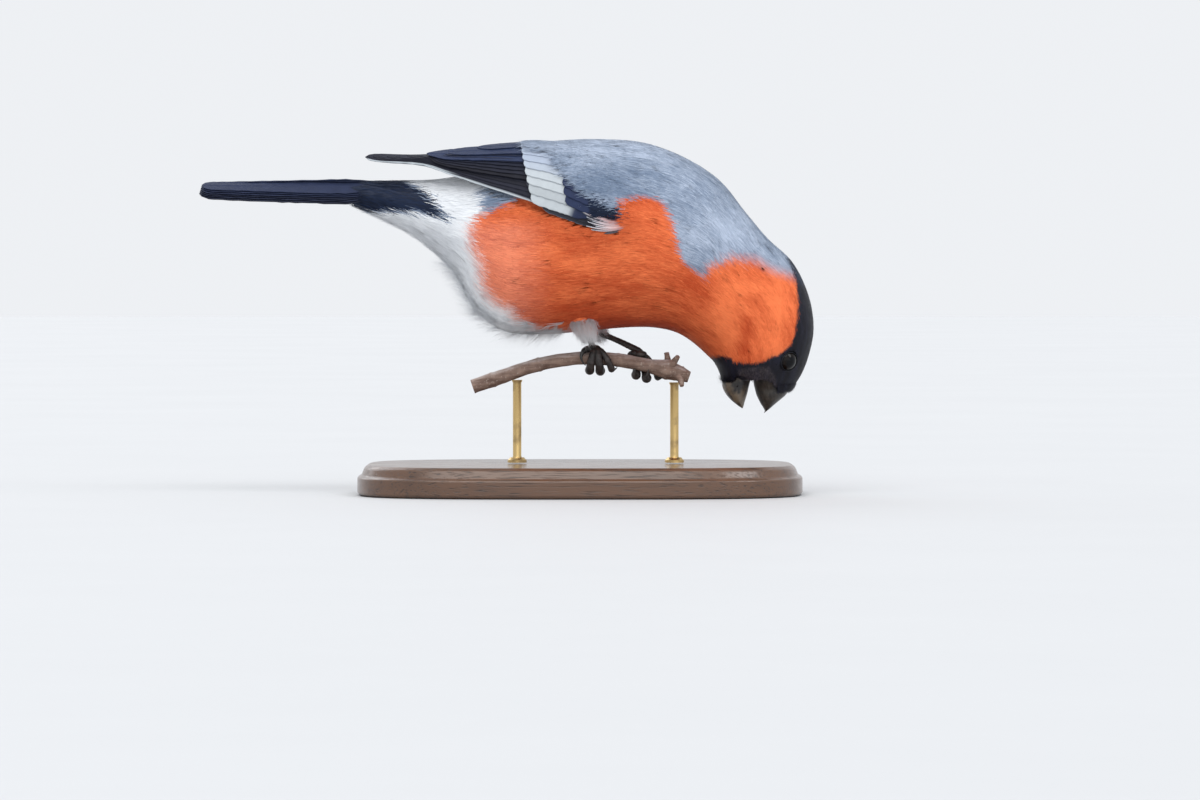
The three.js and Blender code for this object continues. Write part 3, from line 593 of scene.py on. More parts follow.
def markings(places):
    """Shares of black, grey and orange at places, and white where all three are low."""
    black = inside(CAP, places)
    orange = inside(ORANGE, places)
    grey = inside(GREY, places)
    nape = smooth(places[:, 0], 28, 40)
    rear = (1 - smooth(places[:, 0], -20, -6)) * (1 - smooth(places[:, 2], 34, 40))
    covert = inside(TAIL_COVERTS, places)
    soft = 0.6 + 1.7 * nape + 2.0 * rear
    return {
        "black": smooth(np.maximum(black, covert), -0.25, 0.25),
        "orange": smooth(orange, -soft, soft) * (1 - 0.08 * rear),
        "grey": np.maximum(smooth(grey, -0.8, 0.8), covert > -0.5),
    }


def wing_height(x, edge):
    """How high the folded wing's lower edge, 0, or upper edge, 3, is at places along the bird."""
    return np.interp(x, *zip(*sorted((spot[edge], spot[edge + 2]) for spot in WING)))


def beside(grid):
    """The mean of the four cells beside each one, where the last angle is next to the first."""
    around = np.roll(grid, 1, 1) + np.roll(grid, -1, 1)
    ahead = np.vstack([grid[1:], grid[-1:]]) + np.vstack([grid[:1], grid[:-1]])
    return (around + ahead) / 4


def wing_cover():
    """How far the wings' outer faces stand off the body, on a grid of stations and angles."""
    stations = np.linspace(*COVER_STATIONS, COVER_GRID[0])
    angles = np.linspace(-math.pi, math.pi, COVER_GRID[1], endpoint=False)
    u, v = (grid.ravel() for grid in np.meshgrid(stations, angles, indexing="ij"))
    start = body(u, v, -COVER_BELOW)
    out = unit(body(u, v, 1.0) - body(u, v, 0.0))
    raised = np.zeros(len(u))
    for side in (1, -1):
        along, up = np.meshgrid(np.linspace(-0.02, 0.62, COVER_SHEET[0]),
                                np.linspace(-0.03, 1.0, COVER_SHEET[1]), indexing="ij")
        sheet = wing_face(side)(along.ravel(), up.ravel(), WING_COVER)
        corner = np.arange(along.size).reshape(COVER_SHEET)
        quads = np.stack([corner[:-1, :-1], corner[:-1, 1:], corner[1:, 1:], corner[1:, :-1]], -1)
        tree = BVHTree.FromPolygons(sheet.tolist(), quads.reshape(-1, 4).tolist())
        for k in range(len(u)):
            hit = tree.ray_cast(Vector(start[k]), Vector(out[k]), COVER_REACH)[0]
            if hit is not None and hit.y * side > 0:
                stands = (np.array(hit) - start[k]) @ out[k] - COVER_BELOW
                raised[k] = max(raised[k], stands)
    low = wing_height(start[:, 0], 0)
    place = body(u, v)
    share = np.maximum(smooth(place[:, 0], 9.0, 13.0), smooth(place[:, 2] - low, -0.5, 1.5))
    share = share * smooth(place[:, 0], -24.0, -17.0)
    raised = (raised * share).reshape(COVER_GRID)
    spread = raised.copy()
    for _ in range(COVER_EASING):
        spread = np.maximum(raised, COVER_FALL * beside(spread))
    for _ in range(COVER_SMOOTHING):
        spread = (spread + beside(spread)) / 2
    return spread


def raised_by_wings(u, v):
    """How far the outer line is raised off the body where the folded wings are."""
    first, last = COVER_STATIONS
    row = np.clip((u - first) / (last - first), 0, 1) * (COVER_GRID[0] - 1)
    column = np.mod(v + math.pi, 2 * math.pi) / (2 * math.pi) * COVER_GRID[1]
    i = np.minimum(row.astype(int), COVER_GRID[0] - 2)
    j = np.minimum(column.astype(int), COVER_GRID[1] - 1)
    right = (j + 1) % COVER_GRID[1]
    a, b = row - i, column - j
    raised = (cover[i, j] * (1 - b) + cover[i, right] * b) * (1 - a)
    return raised + (cover[i + 1, j] * (1 - b) + cover[i + 1, right] * b) * a


def dressed_body(u, v, lift=0.0):
    """The outer line of the small feathers: the body's, or the wings' where they cover them."""
    return body(u, v, lift + raised_by_wings(u, v))


cover = wing_cover()
turns = np.linspace(0, 2 * math.pi, SKIN_AROUND, endpoint=False)
bm = bmesh.new()
rings = []
for station in np.linspace(0.1, SKIN_AT_MOUTH, SKIN_RINGS):
    ring = np.full(SKIN_AROUND, station)
    under = np.maximum(-COAT_DEPTH, raised_by_wings(ring, turns) - SKIN_UNDER_COVER)
    under = under - MOUTH_TAPER * smooth(ring, SKIN_AT_MOUTH - 0.9, SKIN_AT_MOUTH)
    rings.append(body(ring, turns, under))
lay_tube(bm, np.array(rings))
tail_root = [(-52, 44.6), (-58, 45.0), (-64, 45.9)]
tail_root_radius = [(4.6, 3.0), (4.2, 2.4), (2.6, 1.2)]
few = turns[::4]
lay_tube(bm, np.array([
    np.stack([np.full(few.shape, x), wide * np.cos(few), z + high * np.sin(few)], axis=1)
    for (x, z), (wide, high) in zip(tail_root, tail_root_radius)
]))
for side, sign in (("left", 1), ("right", -1)):
    face = thigh(side)
    few = turns[::3]
    lay_tube(bm, np.array([
        face(np.full(few.shape, along), few, -0.8) for along in np.linspace(0.0, 1.3, 8)
    ]))
    arm = wing_face(sign)
    across = np.linspace(0.08, 0.92, 7)
    rings = []
    for along in np.linspace(0.02, 0.32, 8):
        deep = np.interp(along, np.linspace(0, 1, len(WING_DEEP)), WING_DEEP)
        outer = arm(np.full(across.shape, along), across, -1.0)
        inner = arm(np.full(across.shape, along), across[::-1], -deep)
        rings.append(np.concatenate([outer, inner]))
    lay_tube(bm, np.array(rings))
rough_mesh = bpy.data.meshes.new("rough_skin")
bm.to_mesh(rough_mesh)
bm.free()
rough_skin = add_object("rough_skin", rough_mesh)
melt = rough_skin.modifiers.new("one_skin", "REMESH")
melt.mode = "VOXEL"
melt.voxel_size = SKIN_VOXEL * MM
bpy.context.view_layer.update()
bm = bmesh.new()
bm.from_object(rough_skin, bpy.context.evaluated_depsgraph_get())
bpy.data.objects.remove(rough_skin)
for _ in range(3):
    bmesh.ops.smooth_vert(bm, verts=bm.verts, factor=0.5, use_axis_x=True, use_axis_y=True,
                          use_axis_z=True)

# One plumage finish serves skin and coat. Each barb is painted darker at its root, partly for the
# feathers' own darker bases and partly as painted shade deep in the coat, and the markings mix the
# colours of melanin and carotene that the feathers have.
ORANGE_DEEP = (0.50, 0.062, 0.014, 1)
ORANGE_BRIGHT = (0.85, 0.200, 0.066, 1)
GREY_DEEP = (0.125, 0.175, 0.262, 1)
GREY_PALE = (0.42, 0.485, 0.60, 1)
WHITE_SHADE = (0.70, 0.725, 0.76, 1)
WHITE_CLEAN = (0.83, 0.85, 0.87, 1)
BLACK_DEEP = (0.004, 0.003, 0.005, 1)
BLACK_WARM = (0.013, 0.014, 0.029, 1)
BLUE_DEEP = (0.002, 0.006, 0.020, 1)
BLUE_GLOSS = (0.005, 0.017, 0.055, 1)


def plumage_finish(name, barbs):
    material, start, place = new_finish(name)
    patches = start.noise(place, 150.0, 3.0)
    fine = start.noise(place, 900.0, 2.0)
    tone = start.attribute("tone") if barbs else fine
    along = start.attribute("along").ease(0.0, 0.75) if barbs else 0.35
    mixed = (patches * 0.3 + tone * 0.85).ease(0.12, 1.03)
    orange = start.blend(mixed, ORANGE_DEEP, ORANGE_BRIGHT)
    grey = start.blend(mixed, GREY_DEEP, GREY_PALE)
    white = start.blend(mixed, WHITE_SHADE, WHITE_CLEAN)
    black = start.blend(mixed, BLACK_DEEP, BLACK_WARM)
    black = start.blend(start.attribute("grey"), black, start.blend(mixed, BLUE_DEEP, BLUE_GLOSS))
    colour = start.blend(start.attribute("grey"), white, grey)
    colour = start.blend(start.attribute("orange"), colour, orange)
    dark = start.attribute("black")
    colour = start.blend(dark, colour, black)
    # Painted shade: the barbs darken towards their roots, and the skin, at a fixed middle value, is
    # painted darker than the tips. The tone adds the painted light and shade of the soft spots.
    colour = start.dim(colour, 0.78 + 0.2 * along + 0.1 * tone)
    show(start, colour, 0.82 - 0.34 * dark - 0.1 * tone, fine, 0.00002,
         sheen_weight=0.04, sheen_roughness=0.5, specular_ior_level=0.22)
    return material


skin = add_piece(
    "skin", bm, plumage_finish("skin_and_down", False),
    ["torso", "neck", "head", "thigh_left", "thigh_right", "wing_left_shoulder",
     "wing_right_shoulder"],
)
spots = np.array(np.meshgrid(np.linspace(0, BILL_ROOT, 150), turns)).reshape(2, -1)
nearby = KDTree(spots.shape[1])
for index, spot in enumerate(in_frame(body(spots[0], spots[1], -COAT_DEPTH))):
    nearby.insert(spot, index)
nearby.balance()
found = np.array([nearby.find(vert.co)[1] for vert in skin.data.vertices])
twin = body(spots[0], math.pi + np.abs(spots[1] - math.pi))
set_values(skin.data, {name: share[found] for name, share in markings(twin).items()})

# Coat: the small body feathers. Each is a tuft, a fan of narrow flat barbs from one root in the
# skin, rising to the plumage's outer line and lying back along the body over the next ones.
# They are shortest round the bill and the eyes, and long and loose on the rump and belly.
BARBS = 9
BARB_ROWS = (0.0, 0.22, 0.6, 1.0)
BARB_RISE = (0.0, 0.9, 1.0, 1.0)
BARB_WIDE = (0.8, 1.0, 0.9, 0.0)
WALK_ROWS = 5
LEAN_STEP = 0.04
LENGTHS = [  # station and how long the feathers are there
    (0, 9.0), (3, 9.5), (9, 8.0), (12, 6.2), (14, 4.4), (15.5, 3.0), (16.6, 2.0), (18, 1.3),
]
LAYERS = 8.8
TUFT_AREA = 0.13  # of the square of its length
MOST_CROWDED = 26  # tufts to the square millimetre, however short they are
EYE_STATION = 16.15
EYE_ANGLE = math.radians(65.5)
EYE_RADIUS = 3.0
EYE_STANDS = 1.2
LID_RING = 2.56
LONGEST_BARB = 1.7
PATCH_FRONT = 2.5
WING_EDGE = 0.7
BAKE_PATCH = 0.003
WING_ZONES = {  # where small feathers cover the folded wing, as outlines in the side view
    "scapular": [
        (-15.4, 70), (-15.4, 57.6), (-7.8, 57.2), (-6.3, 52.0), (-4.4, 49.5), (-1.4, 47.0),
        (2.7, 43.8), (8.1, 40.6), (11.9, 40.9), (14.2, 43.5), (29.7, 43.2), (29.7, 70),
    ],
    "bar": [
        (-15.2, 57.6), (-15.2, 48.4), (-12.5, 44.9), (-12.2, 41.9), (-11.4, 40.1),
        (-7.6, 39.7), (-3.0, 40.1), (-4.9, 42.4), (-5.4, 44.1), (-3.0, 45.1), (-4.3, 49.2),
        (-4.9, 50.8), (-4.9, 57.0),
    ],
    "patch": [
        (-4.3, 51.0), (-3.0, 45.1), (-5.9, 44.1), (-3.0, 40.3), (3.2, 38.9), (7.3, 39.5),
        (11.9, 37.6), (13.2, 38.3), (12.2, 42.2), (5.4, 46.9),
    ],
    "shoulder": [
        (11.0, 28.0), (9.9, 36.6), (11.0, 39.8), (9.5, 42.0), (13.0, 43.8), (40, 43.8), (40, 28.0),
    ],
}
BARE_BILL = [  # where no feathers cover the sides of the bill and the corner of the mouth
    (44.3, -3.4), (45.9, -4.9), (47.8, -4.7), (50.8, -4.7), (52.0, -5.6), (53.0, -7.1),
    (54.8, -8.6), (55.9, -9.6), (55.9, -18.8), (35.5, -18.8), (36.4, -8.4), (37.5, -6.6),
    (39.0, -5.6), (41.0, -4.4), (42.4, -3.0),
]
MOUTH_EDGE = [  # where the short black feathers are mixed with brown ones
    (41.9, -1.6), (44.8, -1.2), (50.8, -0.8), (53.0, -3.6), (54.2, -8.0), (50.0, -8.6),
    (42.0, -6.0),
]
# Painted light and shade: these spots paint the underside darker and the top lighter, as the light
# falls, mixed with some real tone.
PAINTED_LIGHT_SHADE_AND_TONE = [  # soft spots of painted light and painted shade, and of the plumage's own tone: x and height, reach along and up, and by how much
    (-22, 30, 7, 8, 0.16), (-2, 13, 16, 5, -0.25), (28, 16, 9, 5, -0.12), (53, 14, 4, 9, 0.34),
    (46, 20, 6, 2.0, 0.34), (44, 7, 2.2, 7, -0.30), (38, 12, 3, 8, 0.28), (8, 47, 13, 6, -0.28),
    (40, 36, 9, 7, 0.22), (15, 58, 25, 4, 0.22), (-20, 20, 5, 10, 0.1), (13, 9, 11, 2.2, -0.7),
    (-24, 42.5, 4, 2.5, -0.35), (-36, 43, 7, 5, -0.15), (34, 24, 4, 2.5, 0.15), (50, 2, 5, 3, 0.1),
    (30, 21, 6, 5, -0.25), (32, 11, 4, 4, 0.22), (-37, 33, 6, 5, -0.4), (-22, 12, 4, 4, 0.4),
    (41.5, 12, 4, 6, 0.24), (2.5, 5.5, 4, 3, 0.9),
]
rng = np.random.default_rng(7)
sparse = 1.0


def lean_of(surface, u, v):
    """How a surface's places move with each of its two measures."""
    along = (surface(u + LEAN_STEP, v) - surface(u - LEAN_STEP, v)) / (2 * LEAN_STEP)
    across = (surface(u, v + LEAN_STEP) - surface(u, v - LEAN_STEP)) / (2 * LEAN_STEP)
    return along, across


def walk(surface, u, v, heading, length):
    """Follows a surface backwards from places on it, turned by a heading, for a length."""
    u, v = u.copy(), v.copy()
    step = length / (WALK_ROWS - 1)
    spots, outs, sides, measures = [], [], [], []
    for _ in range(WALK_ROWS):
        along, across = lean_of(surface, u, v)
        out = unit(np.cross(across, along))
        out = out * np.sign(np.sum(out * (surface(u, v, 1.0) - surface(u, v, 0.0)), 1))[:, None]
        back = -unit(along)
        side = unit(np.cross(out, back))
        spots.append(surface(u, v))
        outs.append(out)
        sides.append(side)
        measures.append((u.copy(), v.copy()))
        way = back * np.cos(heading)[:, None] + side * np.sin(heading)[:, None]
        aa, bb = np.sum(along * along, 1), np.sum(across * across, 1)
        ab = np.sum(along * across, 1)
        wa, wb = np.sum(way * along, 1), np.sum(way * across, 1)
        whole = np.maximum(aa * bb - ab * ab, 1e-9)
        u += step * (wa * bb - wb * ab) / whole
        v += step * (wb * aa - wa * ab) / whole
    return np.array(spots), np.array(outs), np.array(sides), measures


def strewn(surface, u_span, v_span, crowd, cells=160):
    """Places strewn over a surface, so many to the square millimetre as crowd says."""
    u_step = (u_span[1] - u_span[0]) / cells
    v_step = (v_span[1] - v_span[0]) / cells
    u = u_span[0] + u_step * (np.arange(cells) + 0.5)
    v = v_span[0] + v_step * (np.arange(cells) + 0.5)
    u, v = (grid.ravel() for grid in np.meshgrid(u, v))
    along, across = lean_of(surface, u, v)
    size = np.linalg.norm(np.cross(along, across), axis=1) * u_step * v_step
    wanted = rng.poisson(size * crowd(u, v) * sparse)
    cell = np.repeat(np.arange(len(u)), wanted)
    jitter = rng.uniform(-0.5, 0.5, (2, len(cell)))
    return u[cell] + jitter[0] * u_step, v[cell] + jitter[1] * v_step


def joined_mesh(name, places, triangles, values, corner_uv=None):
    """One mesh of many small things, from arrays of places and of corners."""
    mesh = bpy.data.meshes.new(name)
    mesh.vertices.add(len(places))
    mesh.vertices.foreach_set("co", in_frame(places).astype(np.float32).ravel())
    mesh.loops.add(triangles.size)
    mesh.loops.foreach_set("vertex_index", triangles.astype(np.int32).ravel())
    mesh.polygons.add(len(triangles))
    mesh.polygons.foreach_set("loop_start", np.arange(0, triangles.size, 3, dtype=np.int32))
    mesh.update(calc_edges=True)
    mesh.shade_smooth()
    set_values(mesh, values)
    if corner_uv is not None:
        layer = mesh.uv_layers.new(name="OFBake", do_init=False)
        layer.uv.foreach_set("vector", corner_uv[triangles.ravel()].astype(np.float32).ravel())
    return mesh


def painted_light_shade_and_tone(places):
    """How much lighter or darker the plumage is painted at places, in soft spots: partly painted
    light and shade, partly its own tone.
    """
    light = np.zeros(len(places))
    for x, z, wide, high, amount in PAINTED_LIGHT_SHADE_AND_TONE:
        away = ((places[:, 0] - x) / wide) ** 2 + ((places[:, 2] - z) / high) ** 2
        light = light + amount * np.exp(-away)
    return light


def marked(count, **given):
    """Shares for barbs that are all kept. A marking that isn't given is nowhere."""
    blank = {name: np.zeros(count) for name in ("orange", "grey", "black")}
    return {**blank, **given}, np.zeros(count, bool)


def tufts(name, surface, u, v, form, shares, roots, finish):
    """Adds a coat piece. The form gives the tufts' heading, length and spread, half the width
    of a barb, the depth of the root, and the lift, looseness and droop of the tips, each as one
    number for all tufts or one for each. All but the heading are in millimetres."""
    count = len(u)
    form = {key: np.broadcast_to(part, (count,)) for key, part in form.items()}
    spots, outs, sides, measures = walk(surface, u, v, form["heading"], form["length"])
    fan = np.linspace(-1, 1, BARBS)[None] + rng.uniform(-0.2, 0.2, (count, BARBS))
    reach = rng.uniform(0.55, 1.0, (count, BARBS)) * (1 - 0.2 * fan**2)
    float_up = rng.normal(0, 1, (count, BARBS)) * form["loose"][:, None]
    rows = np.array(BARB_ROWS)
    way = rows * reach[..., None] * (WALK_ROWS - 1)
    index = np.minimum(way.astype(int), WALK_ROWS - 2)
    rest = (way - index)[..., None]
    tuft = np.arange(count)[:, None, None]
    along = lambda data: data[index, tuft] * (1 - rest) + data[index + 1, tuft] * rest
    middle, out, side = along(spots), along(outs), along(sides)
    aside = fan[..., None] * form["spread"][:, None, None] * (0.4 + 0.6 * rows)
    depth, lift = form["depth"][:, None, None], form["lift"][:, None, None]
    high = (depth + lift) * np.array(BARB_RISE) - depth
    high = high + float_up[..., None] * rows - form["droop"][:, None, None] * rows**2
    centre = middle + side * aside[..., None] + out * high[..., None]
    half = form["barb"][:, None, None] * np.array(BARB_WIDE)
    left = centre + side * half[..., None]
    right = centre - side * half[..., None]
    last = len(rows) - 1
    paired = lambda data: data[:, :, np.append(np.repeat(np.arange(last), 2), last)]
    places = paired(centre)
    places[:, :, :-1:2] = left[:, :, :last]
    places[:, :, 1:-1:2] = right[:, :, :last]

    # Each barb shows the marking at the part of it that is seen, and where the bird is bare or
    # another feather shows there, it is left out.
    seen_uv = along(np.moveaxis(np.array(measures), 1, -1))[:, :, 2:].mean(axis=2)
    seen = centre[:, :, 2:].mean(axis=2).reshape(-1, 3)
    seen_u, seen_v = seen_uv.reshape(-1, 2).T
    values, bare = shares(seen, seen_u, seen_v)
    stretch = np.linalg.norm(centre[:, :, -1] - centre[:, :, 0], axis=2) / form["length"][:, None]
    kept = np.flatnonzero(~bare & (stretch.ravel() < LONGEST_BARB))
    places = places.reshape(count * BARBS, -1, 3)[kept]
    outward = paired(out).reshape(count * BARBS, -1, 3)[kept]
    each = 2 * last + 1
    ladder = []
    for row in range(last - 1):
        a = 2 * row
        ladder += [(a, a + 1, a + 3), (a, a + 3, a + 2)]
    ladder.append((2 * last - 2, 2 * last - 1, 2 * last))
    starts = np.arange(len(kept)) * each
    triangles = (starts[:, None, None] + np.array(ladder)).reshape(-1, 3)
    row_share = np.append(np.repeat(rows[:last], 2), rows[last])
    streak = wrinkled(np.stack([seen_u * 0.9, seen_v * 11, 0 * seen_u], axis=1), 1.0, 2.7)
    strong = 0.34 - 0.14 * values["grey"] + 0.1 * values["black"]
    # The tone carries the painted light and shade of the soft spots, as well as the barbs' own
    # streaks and random tone.
    tone = 0.5 + strong * streak + rng.normal(0, 0.12, count * BARBS) + painted_light_shade_and_tone(seen)
    own = {key: np.repeat(share[kept], each) for key, share in values.items()}
    own["tone"] = np.repeat(np.clip(tone, 0, 1.25)[kept], each)
    own["along"] = np.tile(row_share, len(kept))
    spot_uv = np.repeat(np.stack(roots(u, v), axis=1), BARBS, axis=0)[kept][:, None]
    patch_u = fan.ravel()[kept, None] * 0.45 * row_share
    patch_u = patch_u + 0.05 * np.append(np.tile([-1, 1], last), 0)
    patch = np.stack([patch_u, np.broadcast_to(row_share, patch_u.shape)], axis=2) * BAKE_PATCH
    mesh = joined_mesh(name, places.reshape(-1, 3), triangles, own,
                       (spot_uv + patch).reshape(-1, 2))
    mesh.normals_split_custom_set_from_vertices(outward.reshape(-1, 3).tolist())
    return fit_piece(add_object(name, mesh), finish)


def eye_frame(sign):
    """The middle of an eye's opening, and the way that it looks.

    It is between straight out from the middle of the head and square to the plumage.
    """
    station, angle = np.array([EYE_STATION]), np.array([sign * EYE_ANGLE])
    opening = body(station, angle)[0]
    straight = unit(opening - section(station)[0][0])
    along, across = lean_of(body, station, angle)
    square = unit(np.cross(across, along))[0]
    return opening, unit(straight + 2 * square * np.sign(square @ straight))


EYE_PLACES = [eye_frame(side)[0] for side in (1, -1)]


def near_eye(spot):
    """How far places are from the middle of the nearer eye's opening, in millimetres."""
    return np.min([np.linalg.norm(spot - eye, axis=1) for eye in EYE_PLACES], axis=0)


def under_wing(spot):
    """How far places are within the folded wing's edges in the side view."""
    low = wing_height(spot[:, 0], 0)
    top = wing_height(spot[:, 0], 3)
    return np.min([16.0 - spot[:, 0], spot[:, 2] - low, top + 1.0 - spot[:, 2]], axis=0)


def body_length(u, v):
    length = np.interp(u, *zip(*LENGTHS))
    length = np.minimum(length, 1.0 + 0.35 * np.maximum(near_eye(body(u, v)) - LID_RING, 0))
    edge = np.max([inside(WING_ZONES[name], body(u, v)) for name in ("bar", "patch")], 0)
    return np.minimum(length, 4.2 + 0.5 * np.maximum(-edge, 0))


def body_crowd(u, v):
    """Tufts to the square millimetre: enough for the layers, and none in the eye's opening."""
    crowd = np.minimum(LAYERS / (TUFT_AREA * body_length(u, v) ** 2), MOST_CROWDED)
    return np.where(near_eye(body(u, v)) < LID_RING + 0.15, 0, crowd)


def body_form(u, v):
    """The lie of the body's feathers."""
    length = body_length(u, v) * rng.uniform(0.85, 1.12, len(u))
    under = smooth(-np.cos(v), 0.1, 0.9)
    rear = smooth(-u, -5.5, -1.0)
    chin = smooth(-np.cos(v), 0.5, 0.9) * smooth(u, 16.2, 16.7)
    length = length * (1 + 0.9 * chin * rng.random(len(u)))
    heading = rng.normal(0, 0.045, len(u)) + 0.04 * np.sin(v * 5 + u * 2.1)
    return {
        "heading": heading,
        "length": length,
        "spread": 0.14 * length,
        "barb": 0.011 * length + 0.012,
        "depth": np.minimum(COAT_DEPTH, 0.2 * length + 0.35),
        "lift": rng.normal(0.0, 0.02, len(u)),
        "loose": 0.006 * length + 0.30 * under * rear,
        "droop": 0.006 * length - 0.45 * under * rear - 2.4 * chin * rng.random(len(u)) ** 3,
    }


def body_shares(seen, u, v):
    """The markings at places on the coat, and where it is left out: over the wing's long
    feathers, in the eye's opening and on the bare bill.

    The left side repeats the right side, which the outlines are drawn on.
    """
    turn = np.mod(v, 2 * math.pi)
    off = seen - body(u, v)
    twin = body(u, math.pi + np.abs(turn - math.pi))
    twin = twin + np.where((turn < math.pi)[:, None], off * (1, -1, 1), off)
    stray = 0.055 * np.interp(u, *zip(*LENGTHS))[:, None] * rng.normal(0, 1, seen.shape)
    shares = markings(twin + stray)
    in_zone = {name: inside(shape, seen + 2 * stray) for name, shape in WING_ZONES.items()}
    edge = under_wing(seen)
    patch = np.minimum(in_zone["patch"], seen[:, 0] - PATCH_FRONT)
    furred = np.max([in_zone["scapular"], in_zone["shoulder"], patch], axis=0)
    on_wing = (edge > 0) & (in_zone["shoulder"] < 0)
    shares["grey"] = np.where(on_wing, 1.0, shares["grey"])
    shares["orange"] = np.where(on_wing, 0.0, shares["orange"])
    shares["black"] = np.where(on_wing, in_zone["scapular"] < 0, shares["black"])
    brown = smooth(inside(MOUTH_EDGE, seen), 0.0, 1.2) * rng.random(len(u)) ** 2
    shares["orange"] = np.where(shares["black"] > 0.9, 0.3, shares["orange"])
    shares["black"] = shares["black"] * (1 - 0.13 * brown)
    bare = (near_eye(seen) < LID_RING + 0.2) | (inside(BARE_BILL, seen + 2 * stray) > 0)
    return shares, ((edge > -WING_EDGE) & (furred < 0)) | bare


def body_roots(u, v):
    return u / BILL_ROOT, np.mod(v, 2 * math.pi) / (2 * math.pi)


coat_finish = plumage_finish("plumage", True)
COAT_PIECES = {  # name: stations, angles in degrees from the back towards the left, slot
    "coat_rump": ((0.0, 4.2), (-180, 180), "thigh_plumage"),
    "coat_belly": ((4.2, 9.0), (90, 270), "breast_plumage"),
    "coat_mantle_rear": ((4.2, 8.2), (-90, 90), "mantle_plumage"),
    "coat_mantle": ((8.2, 12.0), (-90, 90), "mantle_plumage"),
    "coat_breast": ((9.0, 13.6), (90, 270), "breast_plumage"),
    "coat_nape": ((12.0, 14.8), (-90, 90), "mantle_plumage"),
    "coat_throat": ((13.6, 15.8), (90, 270), "breast_plumage"),
    "coat_chin": ((15.8, 18.0), (90, 270), "cap_plumage"),
    "coat_crown": ((14.8, 16.4), (-90, 90), "cap_plumage"),
    "coat_forehead": ((16.4, 17.15), (-90, 90), "cap_plumage"),
    "coat_face": ((17.15, 18.0), (-90, 90), "cap_plumage"),
}
for name, (stations, degrees, slot) in COAT_PIECES.items():
    span = [math.radians(angle) for angle in degrees]
    u, v = strewn(body, stations, span, body_crowd)
    tufts(name, dressed_body, u, v, body_form(u, v), body_shares, body_roots, coat_finish)

# Tail: twelve flight feathers folded into a low roof, the middle pair on top. Each is a stiff
# vane on a shaft, black with a blue gloss and a little frayed along its edges.
TAIL_ROOT = -52.0
TAIL_TIP = -102.7
TAIL_RIDGE = 47.9
TAIL_HALF = 8.5
TAIL_SLOPES = (math.radians(48), math.radians(19))
TAIL_CREASE = 1.6
TAIL_PAIRS = 6
TAIL_LAYER = 0.38
VANE_THICK = 0.11
FEATHER_BROWN = (0.013, 0.012, 0.015, 1)
FEATHER_BLUE = (0.015, 0.024, 0.062, 1)
FEATHER_PALE = (0.37, 0.43, 0.55, 1)
FEATHER_WHITE = (0.46, 0.50, 0.53, 1)


def tail_face(along, across, lift=0.0):
    """The roof of the folded tail: along it to its tip, and across it from its ridge."""
    along = np.atleast_1d(np.asarray(along, float))
    across = np.broadcast_to(np.asarray(across, float), along.shape)
    slope = TAIL_SLOPES[0] + (TAIL_SLOPES[1] - TAIL_SLOPES[0]) * along
    reach = across * TAIL_HALF
    fall = np.hypot(reach, TAIL_CREASE) - TAIL_CREASE
    tilt = slope * np.minimum(1, np.abs(reach) / TAIL_CREASE) * np.sign(reach)
    return np.stack([
        TAIL_ROOT + (TAIL_TIP - TAIL_ROOT) * along,
        reach * np.cos(slope) + lift * np.sin(tilt),
        TAIL_RIDGE - fall * np.sin(slope) + lift * np.cos(tilt),
    ], axis=1)


def vane(surface, root, tip, wide, lift, tilt=0.0, shaft=0.0, rows=26, blunt=0.16, root_wide=0.4,
         **tints):
    """One flight feather or covert: rows of places over a surface, and what its finish reads."""
    share = np.linspace(0, 1, rows)
    share = 1 - (1 - share) ** 1.25
    edge = [-1.0, -0.86, -0.6, -0.3, 0.0, 0.3, 0.6, 0.86, 1.0]
    near_shaft = [shaft - 0.07, shaft, shaft + 0.07]
    web = np.unique(np.round([x for x in edge if abs(x - shaft) > 0.1] + near_shaft, 4))
    u = root[0] + (tip[0] - root[0]) * share
    v = root[1] + (tip[1] - root[1]) * share
    middle = surface(u, v, lift)
    along = unit(surface(u + 0.01, v, lift) - surface(u - 0.01, v, lift))
    across = surface(u, v + 0.01, lift) - surface(u, v - 0.01, lift)
    across = unit(across - along * np.sum(across * along, 1, keepdims=True))
    out = unit(surface(u, v, lift + 1.0) - middle)
    tip_round = np.sqrt(np.clip(1 - ((share - 1 + blunt) / blunt).clip(0, 1) ** 2.4, 0.002, 1))
    half = wide / 2 * np.minimum(1, root_wide + 2.2 * share) * tip_round
    frayed = 1 - rng.uniform(0, 0.09, (rows, len(web))) * (np.abs(web) > 0.95)
    aside = web[None] * half[:, None] * frayed
    ridge = 0.10 * np.exp(-(((web - shaft) / 0.05) ** 2))
    rise = ridge[None] - tilt * aside - 0.05 * aside**2 / max(wide / 2, 1)
    places = middle[:, None] + across[:, None] * aside[..., None] + out[:, None] * rise[..., None]
    length = np.linalg.norm(np.diff(middle, axis=0), axis=1).sum()
    grid = np.ones((rows, len(web)))
    own = {
        "along": share[:, None] * grid, "web": web[None] * grid,
        "run": share[:, None] * length * grid, "aside": (web - shaft)[None] * half[:, None],
        "tone": rng.random() * grid,
    }
    for name, value in tints.items():
        own[name] = (value(share[:, None] * grid, web[None] * grid) if callable(value)
                     else value * grid)
    return places, own


